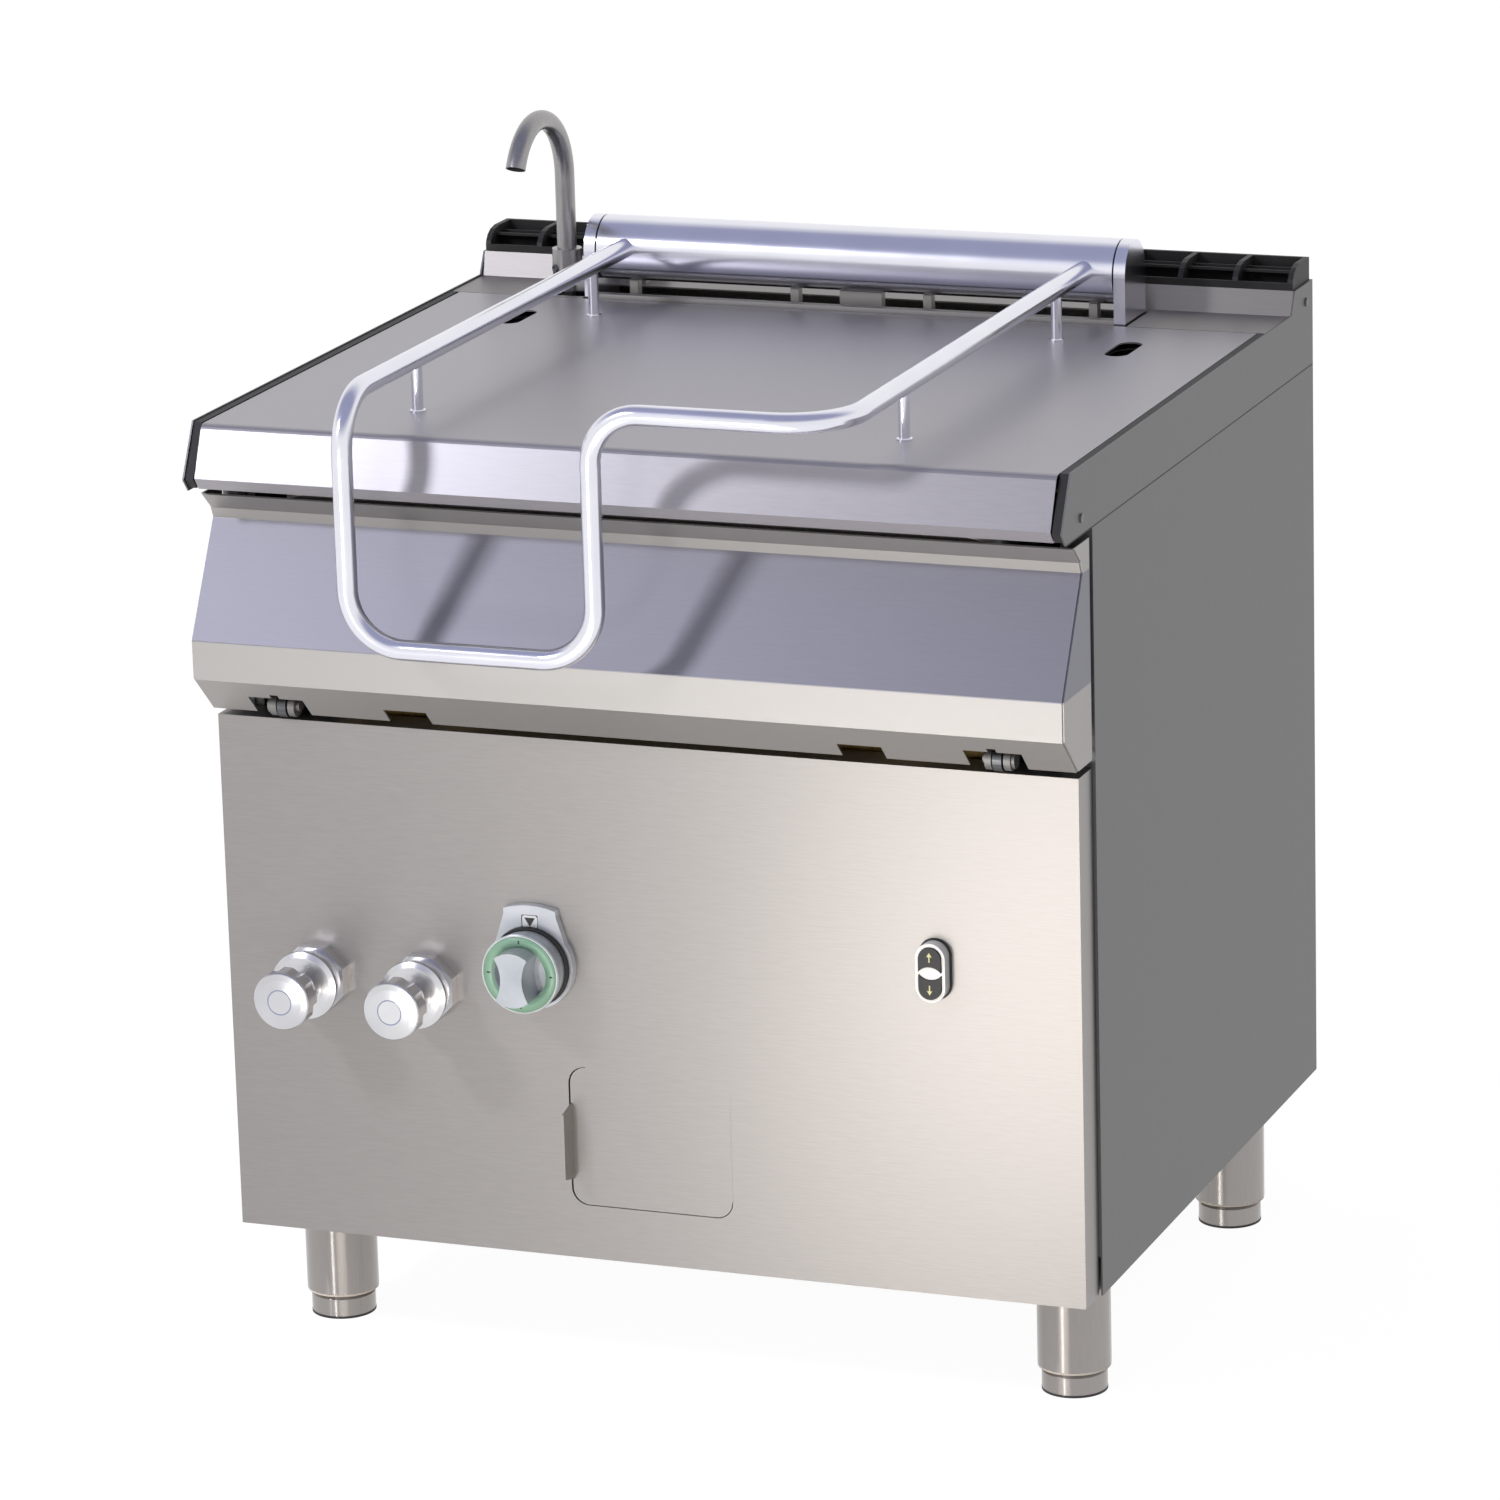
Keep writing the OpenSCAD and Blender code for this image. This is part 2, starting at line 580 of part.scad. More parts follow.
// Each valve is a body behind the panel and a bonnet with its six-sided nut in front
module water_valves() {
    color("gainsboro") placed() for (x = valve_places) difference() {
        union() {
            rod_y(x, [sheet, valve_back], valve_z, 20);
            rod_y(x, [-14, sheet + 1], valve_z, valve_stem);
            translate([x, 0, valve_z]) rotate([90, 0, 0]) rotate_extrude($fn = 96) polygon([[0, 12], [27, 12],
                [28, 16], [31, 28], [30.5, 30], [26, 32.5], [18, 34.5], [13, 36], [10, 39], [9, 43], [9, 46], [0, 46]]);
            translate([x, 0, valve_z]) rotate([90, 22.5, 0]) cylinder(h = 13, r = 32, $fn = 8);
        }
        rod_y(x, [-50, 10], valve_z, 4 + run);
    }
}
module water_knob(x) {
    color("gainsboro") placed() translate([x, 0, valve_z]) rotate([90, 0, 0]) {
        difference() {
            rotate_extrude($fn = 96) polygon([[0, 47], [11, 47], [12, 54], [valve_knob_d / 2 - 2, 57],
                [valve_knob_d / 2, 60], [valve_knob_d / 2, 78], [valve_knob_d / 2 - 1, 79.5], [20, knob_front - 1.2],
                [11.5, knob_front], [11, knob_front - 0.6], [10.5, knob_front], [0, knob_front]]);
            for (i = [0 : 7]) rotate(i * 45 + 22.5) translate([valve_knob_d / 2 + 4, 0, 50])
                cylinder(h = 26, r = 7.5, $fn = 32);
        }
        translate([0, 0, -6]) cylinder(h = 54, r = 4, $fn = 32);
    }
}
module water_knob_left() { water_knob(valve_places[0]); }
module water_knob_right() { water_knob(valve_places[1]); }
module inlets() {
    color("silver") placed() for (p = inlet_places) difference() {
        union() {
            rod_z(p.x, p.y, [frame_z - 16, frame_z], inlet_r);
            rod_z(p.x, p.y, [frame_z - 1, floor_z + 1], inlet_r - 1.5);
            rod_z(p.x, p.y, [tray_z - 3, tray_z], inlet_r + 3);
            translate([p.x, p.y, floor_z]) cylinder(h = 10, r = 18, $fn = 6);
        }
        rod_z(p.x, p.y, [frame_z - 17, floor_z + 6], 7);
    }
}
module terminal_box() {
    color("whitesmoke") placed() {
        box([cable_place.x - 45, cable_place.x + 55], [inlet_y - 90, inlet_y - 22], [floor_z, floor_z + 55]);
        rod_y(cable_place.x, [inlet_y - 23, inlet_y - 17], floor_z + 25, 9);
    }
}

// Controls on the front panel
bezel_t = 8;
module gas_bezel() {
    tab_w = 49;
    r = gas_knob_d / 2 + 3;
    color("gainsboro") placed() translate([-gas_x, 0, gas_z]) difference() {
        along_y([-bezel_t, 0]) {
            circle(r, $fn = 96);
            intersection() {
                polygon([[-r * 0.86, 18], [-tab_w / 2, 46], [-tab_w / 2, 60], [tab_w / 2, 60], [tab_w / 2, 46], [r * 0.86, 18]]);
                translate([0, -21]) circle(76, $fn = 128);
            }
        }
        rod_y(0, [-20, 1], 0, gas_shaft + 1);
        box([-7.7, 7.7], [-bezel_t - 1, -bezel_t + 1], [33.5, 46.5]);
    }
}
module gas_knob() {
    r = gas_knob_d / 2;
    face = 34;
    color("gainsboro") placed() translate([-gas_x, 0, gas_z]) rotate([90, 0, 0]) {
        rotate_extrude($fn = 96) polygon([[0, bezel_t + 1], [r - 3, bezel_t + 1], [r - 1.5, 20],
            [r - 1, face - 3], [r, face - 1], [r - 1.5, face], [24, face], [23, face - 9], [0, face - 9]]);
        intersection() {
            translate([0, 0, face - 10]) cylinder(h = 30, r = 24.5, $fn = 64);
            difference() {
                translate([-15, -27, face - 10]) cube([30, 54, 30]);
                for (s = [-1, 1]) translate([s * 47, 0, 0]) cylinder(h = 60, r = 37, $fn = 96);
            }
        }
        translate([0, 0, -14]) cylinder(h = 24, r = gas_shaft, $fn = 32);
    }
}
button_at = 13.5;
button_stem = 4;
// The lens between the two buttons, as tall as lens_h in the middle
lens_r = (pow(button_w / 2, 2) + pow(lens_h / 2 - 1.5, 2)) / (lens_h - 3);
module button_outline(cut) {
    difference() {
        stadium(button_w, button_h, cut);
        translate([0, lens_h / 2 - lens_r]) circle(lens_r - cut, $fn = 96);
        translate([-30, -60]) square([60, 60 + 1.5 - cut]);
    }
}
module tilt_switch_bezel() {
    color("whitesmoke") placed() translate([switch_x, 0, switch_z]) difference() {
        along_y([-13, 0]) stadium(button_w + 2 * switch_edge, button_h + 2 * switch_edge);
        for (s = [0, 1]) mirror([0, 0, s]) along_y([-14, -1]) button_outline(0.3);
        for (s = [-1, 1]) rod_y(0, [-2, 1], s * button_at, button_stem + 0.3);
    }
}
module button() {
    along_y([-15, -1.5 - button_travel]) button_outline(0);
    rod_y(0, [-2 - button_travel, sheet + 6], button_at, button_stem);
}
module up_button() { color([0.15, 0.15, 0.15]) placed() translate([switch_x, 0, switch_z]) button(); }
module down_button() {
    color([0.15, 0.15, 0.15]) placed() translate([switch_x, 0, switch_z]) mirror([0, 0, 1]) button();
}
module contact_block() {
    color("seagreen") placed() difference() {
        box([switch_x - 15, switch_x + 15], [sheet, sheet + 40], [switch_z - 26, switch_z + 26]);
        for (s = [-1, 1]) rod_y(switch_x, [0, sheet + 8 + button_travel], switch_z + s * button_at, button_stem + run);
    }
}
knuckle_z = [flap_z + 22, flap_z + flap_h - 30];
module access_flap() {
    tab = 21;
    color("lightgray") placed() {
        translate([0, 0, flap_z + flap_h / 2]) along_y([0, sheet]) rounded(flap_w, flap_h, 15);
        along_x([-flap_w / 2, -flap_w / 2 + sheet]) polygon([[0.5, flap_z + 23], [-tab, flap_z + 28],
            [-tab, flap_z + 88], [0.5, flap_z + 93]]);
        for (z = knuckle_z) {
            // Each arm goes from the flap round behind its pin
            difference() {
                translate([flap_pin.x, flap_pin.y, z]) linear_extrude(8) {
                    difference() {
                        circle(38, $fn = 96);
                        circle(33, $fn = 96);
                        polygon([[0, 0], [39, 46], [100, 46], [100, -100], [-100, -100],
                            [-100, sheet - flap_pin.y], [0, sheet - flap_pin.y]]);
                    }
                    rotate(50) translate([0, -2.5]) square([34, 5]);
                    circle(6, $fn = 48);
                }
                rod_z(flap_pin.x, flap_pin.y, [z - 1, z + 9], 3 + run);
            }
        }
    }
}
module flap_hinge() {
    color("gray") placed() for (z = knuckle_z) {
        box([flap_pin.x + 8, flap_pin.x + 24], [sheet, sheet + 2], [z - 6, z + 14]);
        for (dz = [-6, 9]) difference() {
            union() {
                box([flap_pin.x, flap_pin.x + 24], [sheet, flap_pin.y + 6], [z + dz, z + dz + 5 - 0.5]);
                rod_z(flap_pin.x, flap_pin.y, [z + dz, z + dz + 4.5], 6);
            }
            rod_z(flap_pin.x, flap_pin.y, [z + dz - 1, z + dz + 6], 2.9);
        }
        rod_z(flap_pin.x, flap_pin.y, [z - 6, z + 13.5], 3);
    }
}

// Tilting parts
module tilt_brackets() {
    color("gray") placed() pair() difference() {
        union() {
            along_x([eye_x, eye_x + eye_t]) polygon([[10, front_top - sheet], [30, front_top - sheet],
                [30, front_top + 4], [8, tilt_z + 6], [-8, front_top + 4], [10, front_top + 2]]);
            rod_x([eye_x, eye_x + eye_t], -tilt_y, tilt_z, lug_r + 1);
        }
        rod_x([eye_x - 1, eye_x + eye_t + 1], -tilt_y, tilt_z, pin_d / 2 + run);
    }
}
module vessel_outline(t) {
    polygon([[vessel_front + t, vessel_z + t], [vessel_front + t, vessel_z + 76], [lip_y + t, rim_z - 48],
        [lip_y + t, rim_z + (t > 0 ? 1 : 0)], [vessel_back - t, rim_z + (t > 0 ? 1 : 0)], [vessel_back - t, vessel_z + t]]);
}
module vessel_solid(t) {
    intersection() {
        along_x([-vessel_x + t, vessel_x - t]) vessel_outline(t);
        translate([0, (vessel_back + lip_y) / 2, vessel_z - 1]) linear_extrude(vessel_h + 10)
            rounded(2 * (vessel_x - t), vessel_back - lip_y - 2 * t, 30 - t);
    }
}
module vessel() {
    color("silver") placed() difference() {
        union() {
            vessel_solid(0);
            box([-rim_x, rim_x], [rim_front, rim_back], [rim_z - vessel_t, rim_z]);
        }
        vessel_solid(vessel_t);
    }
}
module vessel_floor_plate() {
    color("gray") placed() box([-chamber_x + 18, chamber_x - 18], [chamber_y[0] + 15, chamber_y[1] - 10],
        [vessel_z - floor_t, vessel_z]);
}
module apron() {
    inside = beside(apron_line, -sheet);
    color("lightgray") placed() {
        difference() {
            along_x([-apron_x + sheet, apron_x - sheet]) polygon(folded(apron_line, -sheet));
            pair() for (i = [0, 1]) box([notch_x[i] - notch_w[i] / 2, notch_x[i] + notch_w[i] / 2],
                [-40, 10], [tilt_z - 20, notch_top[i]]);
            pair() box([notch_x[0] - 4, notch_x[0] + 4], [-40, 10], [tilt_z - 20, notch_top[0] + 4]);
        }
        pair() along_x([apron_x - sheet, apron_x]) polygon(concat(apron_line,
            [[side_front - 6, apron_line[5].y], [side_front - 6, apron_line[0].y]]));
        // Gussets between the apron and its beam
        pair() for (x = [60, 280]) along_x([x, x + 3]) polygon([inside[3], inside[4], [beam_y, beam_z[0] + 5],
            [beam_y, beam_z[1] - 5]]);
    }
}
module pan_beam() {
    color("silver") placed() difference() {
        union() {
            box([-beam_x, beam_x], [beam_y, vessel_front], beam_z);
            pair() for (x = [eye_x - lug_gap - lug_t, eye_x + eye_t + lug_gap]) {
                along_x([x, x + lug_t]) polygon([[-9, tilt_z + 5], [6, tilt_z - 6], [beam_y, beam_z[0]],
                    [beam_y, beam_z[1] - 5], [8, beam_z[0] + 8]]);
                rod_x([x, x + lug_t], -tilt_y, tilt_z, lug_r);
            }
        }
        box([-beam_x - 1, beam_x + 1], [beam_y + 2, vessel_front - 2], [beam_z[0] + 2, beam_z[1] - 2]);
        pair() rod_x([eye_x - 20, eye_x + 30], -tilt_y, tilt_z, pin_d / 2 + run);
    }
}
module tilt_pins() {
    x = eye_x + eye_t + lug_gap + lug_t;
    color("silver") placed() pair() {
        rod_x([eye_x - lug_gap - lug_t - 3, x], -tilt_y, tilt_z, pin_d / 2);
        rod_x([x, x + 3], -tilt_y, tilt_z, pin_d / 2 + 3);
    }
}

// Gear teeth with the involute form, cut thin by the play on each flank
function flank(n, t) = gear_m * n / 2 * cos(pressure_a) * sqrt(1 + t * t);
function roll(n, r) = let (q = r / (gear_m * n / 2 * cos(pressure_a))) q > 1 ? sqrt(q * q - 1) : 0;
function half_tooth(n) = 90 / n - tooth_play / (gear_m * n / 2) * 180 / PI
    + tan(pressure_a) * 180 / PI - pressure_a;
function foot_r(n) = gear_m * (n / 2 - 1.25) - 1;
function flank_points(n, s) = let (t0 = roll(n, foot_r(n)), t1 = roll(n, gear_m * (n / 2 + 0.9)))
    [for (k = [0 : 4]) let (t = t0 + (t1 - t0) * k / 4, a = s * (half_tooth(n) - t * 180 / PI + atan(t)))
        flank(n, t) * [cos(a), sin(a)]];
module tooth(n) {
    foot = foot_r(n) - 0.5;
    a = half_tooth(n) - roll(n, foot_r(n)) * 180 / PI + atan(roll(n, foot_r(n)));
    polygon(concat([foot * [cos(a), -sin(a)]], flank_points(n, -1), backwards(flank_points(n, 1)),
        [foot * [cos(a), sin(a)]]));
}
bolt_places = [[90, vessel_z + 18], [190, vessel_z + 95], [245, vessel_z + 40]];
module tilt_quadrant() {
    root = gear_m * (quadrant_n / 2 - 1.25);
    start = first_tooth * 360 / quadrant_n;
    color("darkgray") placed() {
        difference() {
            translate([quadrant_x, -tilt_y, tilt_z]) rotate([90, 0, 90]) linear_extrude(quadrant_t) {
                difference() {
                    circle(root, $fn = 180);
                    polygon([[0, 0], 500 * [cos(38), sin(38)], [0, 500], [-500, 500], [-500, -500],
                        500 * [cos(start - 1), sin(start - 1)]]);
                    translate([-100, -100]) square([150, 400]);
                    difference() {
                        circle(root - 45, $fn = 180);
                        polygon([[0, -12], [400, -50], [400, 400], [0, 400]]);
                    }
                }
                for (i = [first_tooth : 1]) rotate(mesh_a + i * 360 / quadrant_n) tooth(quadrant_n);
            }
            for (p = bolt_places) rod_x([quadrant_x - 1, quadrant_x + quadrant_t + 1], p.x, p.y, 4 + run);
        }
        // Spacing sleeves, and the studs with their nuts just off the plate
        for (p = bolt_places) {
            difference() {
                rod_x([vessel_x, quadrant_x - 0.1], p.x, p.y, 9);
                rod_x([vessel_x - 1, quadrant_x + 1], p.x, p.y, 4 + run);
            }
            rod_x([vessel_x, quadrant_x + quadrant_t + 1], p.x, p.y, 4);
            translate([quadrant_x + quadrant_t + 0.1, p.x, p.y]) rotate([0, 90, 0]) cylinder(h = 6, r = 7.5, $fn = 6);
        }
    }
}
module drive_pinion() {
    turn = 180 + mesh_a + 180 / pinion_n;
    color("darkgray") placed() translate([0, pinion_y, pinion_z]) {
        translate([quadrant_x - 1, 0, 0]) rotate([90, 0, 90]) linear_extrude(quadrant_t + 2) {
            circle(gear_m * (pinion_n / 2 - 1.25), $fn = 64);
            for (i = [0 : pinion_n - 1]) rotate(turn + i * 360 / pinion_n) tooth(pinion_n);
        }
        rod_x([quadrant_x, motor_x + 28], 0, 0, shaft_d / 2);
    }
}
module gearmotor() {
    y = pinion_y;
    z = pinion_z;
    color("steelblue") placed() difference() {
        union() {
            box([motor_x, inner - 4], [y - 30, y + 40], [z - 30, z + 38]);
            translate([(motor_x + inner - 3.5) / 2, y + 4, z - 180]) cylinder(h = 155, r = 18, $fn = 64);
            box([inner - 4, inner], [y - 50, y + 60], [z - 40, z + 48]);
        }
        rod_x([motor_x - 1, motor_x + 30], y, z, shaft_d / 2 + run);
    }
}

// Lid hinge
module hinge_bridge() {
    color("lightgray") placed() {
        along_x([-hinge_in, hinge_in]) polygon(folded([[vessel_back, bracket_z], [riser_y, bracket_z],
            [riser_y, lid_z + 4], [riser_y + 9, lid_z + 4], [riser_y + 9, trough_z], [hinge_y + 5.5, trough_z]], -2));
        pair() for (x = [65, 225]) box([x - 4, x + 4], [hinge_y - 4.5, hinge_y + 5.5], [trough_z - 1, rib_top]);
        box([-20.5, 20.5], [hinge_y - 4.5, hinge_y + 5.5], [trough_z - 1, rib_top]);
    }
}
trough_z = lid_z - 14;
rib_top = hinge_z - hinge_d / 2 - 0.5;
module hinge_brackets() {
    color("gainsboro") placed() pair() difference() {
        union() {
            box([hinge_in, hinge_x], [bracket_front, bracket_back], [bracket_z, hinge_z]);
            rod_x([hinge_in, hinge_x], hinge_y, hinge_z, hinge_d / 2);
        }
        rod_x([hinge_in - 1, hinge_x - 3], hinge_y, hinge_z, axle_d / 2 + run);
    }
}
axle_in = hinge_in - 133;
module hinge_axles() {
    color("silver") placed() pair() rod_x([axle_in, hinge_x - 3], hinge_y, hinge_z, axle_d / 2);
}
module hinge_cylinder() {
    color("gainsboro") placed() {
        difference() {
            rod_x([-cylinder_x, cylinder_x], hinge_y, hinge_z, hinge_d / 2);
            rod_x([-cylinder_x - 1, cylinder_x + 1], hinge_y, hinge_z, hinge_d / 2 - hinge_t);
        }
        pair() difference() {
            rod_x([cylinder_x - plug_t, cylinder_x], hinge_y, hinge_z, hinge_d / 2 - hinge_t - run);
            rod_x([cylinder_x - plug_t - 1, cylinder_x + 1], hinge_y, hinge_z, axle_d / 2 + run);
        }
    }
}
// Springs that balance the lid, wound close on the axles
module lid_springs() {
    wire = 5;
    coil_r = axle_d / 2 + seat + wire / 2;
    color("dimgray") placed() pair() translate([axle_in + 5, hinge_y, hinge_z]) rotate([0, 90, 0])
        rotate_extrude($fn = 64) for (i = [0 : 22]) translate([coil_r, wire / 2 + i * wire * 0.95]) circle(wire / 2, $fn = 20);
}

// Lid with its handle
module lid_slots(w, l, z) {
    pair() translate([tap_x, slot_y, z]) linear_extrude(60) rotate(90) {
        square([l - w, w], center = true);
        for (s = [-1, 1]) translate([s * (l - w) / 2, 0]) circle(w / 2, $fn = 48);
    }
}
fold_r = 8;
fold = [for (a = [0 : 15 : 60]) [lid_front[0].x + 3 - fold_r * sin(a), lid_z - fold_r * (1 - cos(a))]];
module lid() {
    line = concat([[lid_back, lid_z - 13], [lid_back, lid_z]], fold, [lid_front[1], lid_front[2], lid_front[3]]);
    color([0.6, 0.6, 0.64]) placed() difference() {
        union() {
            along_x([-lid_x, lid_x]) polygon(folded(line, sheet));
            pair() box([lid_x - sheet, lid_x], [0, lid_back], [lid_z - 13, lid_z - 0.1]);
        }
        lid_slots(slot_w, slot_l, lid_z - 30);
    }
}
module lid_skin() {
    x = vessel_x + 30;
    color("lightgray") placed() difference() {
        box([-x, x], [10, vessel_back - 10], [lid_z - sheet - skin_h, lid_z - sheet]);
        box([-x + sheet, x - sheet], [10 + sheet, vessel_back - 10 - sheet], [lid_z - skin_h, lid_z]);
        lid_slots(slot_w + 16, slot_l + 30, lid_z - 30);
    }
}
bend_r = [50, 50, 50, 45, 45, 60];
module handle_path(r, cut = 0) {
    y = handle_y;
    top = arm_z;
    low = arm_z - handle_drop;
    rod_y(-handle_x, [y + bend_r[0], hinge_y - cut], top, r);
    translate([-handle_x, y + bend_r[0], top - bend_r[0]]) rotate([0, 90, 0]) rotate([0, 0, 180]) bend(bend_r[0], r);
    rod_z(-handle_x, y, [low + bend_r[1], top - bend_r[0]], r);
    translate([-handle_x + bend_r[1], y, low + bend_r[1]]) rotate([90, 0, 0]) rotate([0, 0, 180]) bend(bend_r[1], r);
    rod_x([-handle_x + bend_r[1], loop_x - bend_r[2]], y, low, r);
    translate([loop_x - bend_r[2], y, low + bend_r[2]]) rotate([90, 0, 0]) rotate([0, 0, -90]) bend(bend_r[2], r);
    rod_z(loop_x, y, [low + bend_r[2], top - bend_r[3]], r);
    translate([loop_x + bend_r[3], y, top - bend_r[3]]) rotate([90, 0, 0]) rotate([0, 0, 90]) bend(bend_r[3], r);
    rod_x([loop_x + bend_r[3], handle_x - bend_r[5]], y, top, r);
    translate([handle_x - bend_r[5], y + bend_r[5], top]) rotate([180, 0, 0]) bend(bend_r[5], r);
    rod_y(handle_x, [y + bend_r[5], hinge_y - cut], top, r);
}
post_y_at = [68, 476];
module handle() {
    color("gainsboro") placed() {
        difference() {
            handle_path(handle_d / 2);
            handle_path(handle_d / 2 - handle_t, 20);
            rod_x([-handle_x - 20, handle_x + 20], hinge_y, hinge_z, hinge_d / 2);
        }
        for (x = [-handle_x, handle_x], y = post_y_at) difference() {
            union() {
                rod_z(x, y, [lid_z, arm_z], post_d / 2);
                rod_z(x, y, [lid_z, lid_z + 2], post_d / 2 + 2);
            }
            rod_y(x, [y - 20, y + 20], arm_z, handle_d / 2 - handle_t / 2);
        }
    }
}

// Water spout of the vessel
module spout_socket() {
    color("darkgray") placed() difference() {
        union() {
            rod_z(-tap_x, hinge_y, [lid_z + 1, lid_z + 40], 14);
            rod_z(-tap_x, hinge_y, [lid_z - 14, lid_z + 2], 7);
            box([-tap_x + 10, -hinge_x], [hinge_y - 8, hinge_y + 8], [lid_z + 1, lid_z + 13]);
        }
        rod_z(-tap_x, hinge_y, [lid_z + 14, lid_z + 41], tap_d / 2 + run);
        rod_z(-tap_x, hinge_y, [lid_z - 15, lid_z + 15], 4);
    }
}
module tube_end() {
    difference() {
        circle(tap_d / 2, $fn = 32);
        circle(tap_d / 2 - tap_t, $fn = 32);
    }
}
module spout_tube() {
    top = lid_z + hook_rise;
    color("gray") placed() {
        translate([-tap_x, hinge_y, lid_z + 14]) linear_extrude(hook_rise - 14) tube_end();
        translate([-tap_x, hinge_y - hook_r, top]) rotate([90, 0, 90])
            rotate_extrude(angle = 155, $fn = 96) translate([hook_r, 0]) tube_end();
    }
}

base_frame();
base_tray();
corner_posts();
cross_rails();
rear_cross_rail();
side_panel_left();
side_panel_right();
front_panel();
rear_panel();
cheeks();
lid_seals();
cheek_screws();
rear_deck();
flue_grate_left();
flue_grate_right();
flue_ducts();
leg_tubes();
foot_front_left();
foot_front_right();
foot_rear_left();
foot_rear_right();
burner_chamber();
burners();
gas_manifold();
gas_valve();
gas_bezel();
gas_pipes();
water_pipes();
water_valves();
inlets();
terminal_box();
tilt_switch_bezel();
contact_block();
flap_hinge();
tilt_brackets();
rest_pads();
gearmotor();
drive_pinion();
vessel();
vessel_floor_plate();
apron();
pan_beam();
tilt_pins();
tilt_quadrant();
hinge_bridge();
hinge_brackets();
hinge_axles();
spout_socket();
spout_tube();
lid();
lid_skin();
hinge_cylinder();
lid_springs();
handle();
gas_knob();
water_knob_left();
water_knob_right();
up_button();
down_button();
access_flap();
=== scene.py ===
import json
import math
import bpy
import numpy as np
from mathutils import Matrix, Vector


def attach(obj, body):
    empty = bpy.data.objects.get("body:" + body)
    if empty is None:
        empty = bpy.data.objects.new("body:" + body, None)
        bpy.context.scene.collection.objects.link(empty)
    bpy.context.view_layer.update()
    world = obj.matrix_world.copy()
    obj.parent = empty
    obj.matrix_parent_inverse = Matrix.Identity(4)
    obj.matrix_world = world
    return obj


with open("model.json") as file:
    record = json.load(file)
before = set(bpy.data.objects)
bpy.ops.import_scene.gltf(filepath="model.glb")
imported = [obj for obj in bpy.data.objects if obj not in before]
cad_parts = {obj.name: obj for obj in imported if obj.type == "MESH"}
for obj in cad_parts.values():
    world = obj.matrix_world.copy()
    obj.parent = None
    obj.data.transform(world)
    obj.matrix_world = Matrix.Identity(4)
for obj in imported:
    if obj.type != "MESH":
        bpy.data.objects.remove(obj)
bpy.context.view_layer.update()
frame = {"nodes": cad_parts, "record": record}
nodes = frame["nodes"]
scene = bpy.context.scene
print("frame loaded,", len(nodes), "nodes")

mm = 0.001
middle = 292.5                 # depth of the frame's origin behind the front panel's face, mm


def place(x, y, z):
    # A point in millimetres, depth counted from the front panel's face, in the frame's metres
    return Vector((x * mm, (y - middle) * mm, z * mm))


# Colours and nodes
def rgb(text, alpha=1.0):
    # sRGB hex to linear: each channel c becomes ((c + 0.055) / 1.055) ^ 2.4
    c = np.array([int(text[i:i + 2], 16) for i in (1, 3, 5)]) / 255
    linear = np.where(c <= 0.04045, c / 12.92, ((c + 0.055) / 1.055) ** 2.4)
    return (*[float(v) for v in linear], alpha)


def add(tree, kind, inputs=None, **settings):
    # Adds a node: settings are its own fields, inputs are values or output sockets to link
    node = tree.nodes.new(kind)
    for key, value in settings.items():
        setattr(node, key, value)
    for key, value in (inputs or {}).items():
        if isinstance(value, bpy.types.NodeSocket):
            tree.links.new(value, node.inputs[key])
        else:
            node.inputs[key].default_value = value
    return node


def blank(name):
    material = bpy.data.materials.new(name)
    material.use_nodes = True
    material.node_tree.nodes.clear()
    return material, material.node_tree


def objectPoint(tree, scale=(1, 1, 1)):
    coords = add(tree, "ShaderNodeTexCoord")
    mapping = add(tree, "ShaderNodeMapping", {"Vector": coords.outputs["Object"], "Scale": scale})
    return mapping.outputs["Vector"]


def noise(tree, scale, detail, roughness=0.5):
    # Noise over the object's own millimetre grid: scale is one number or one along each axis
    point = objectPoint(tree, scale=scale if isinstance(scale, tuple) else (scale,) * 3)
    return add(tree, "ShaderNodeTexNoise", {"Vector": point, "Scale": 1.0, "Detail": detail,
                                            "Roughness": roughness}).outputs["Fac"]


def mixed(tree, factor, first, second):
    node = add(tree, "ShaderNodeMix", data_type="RGBA")
    for index, value in ((0, factor), (6, first), (7, second)):
        if isinstance(value, bpy.types.NodeSocket):
            tree.links.new(value, node.inputs[index])
        else:
            node.inputs[index].default_value = value
    return node.outputs[2]


def remap(tree, value, low, high, newLow, newHigh):
    return add(tree, "ShaderNodeMapRange", {"Value": value, "From Min": low, "From Max": high,
                                            "To Min": newLow, "To Max": newHigh}).outputs["Result"]


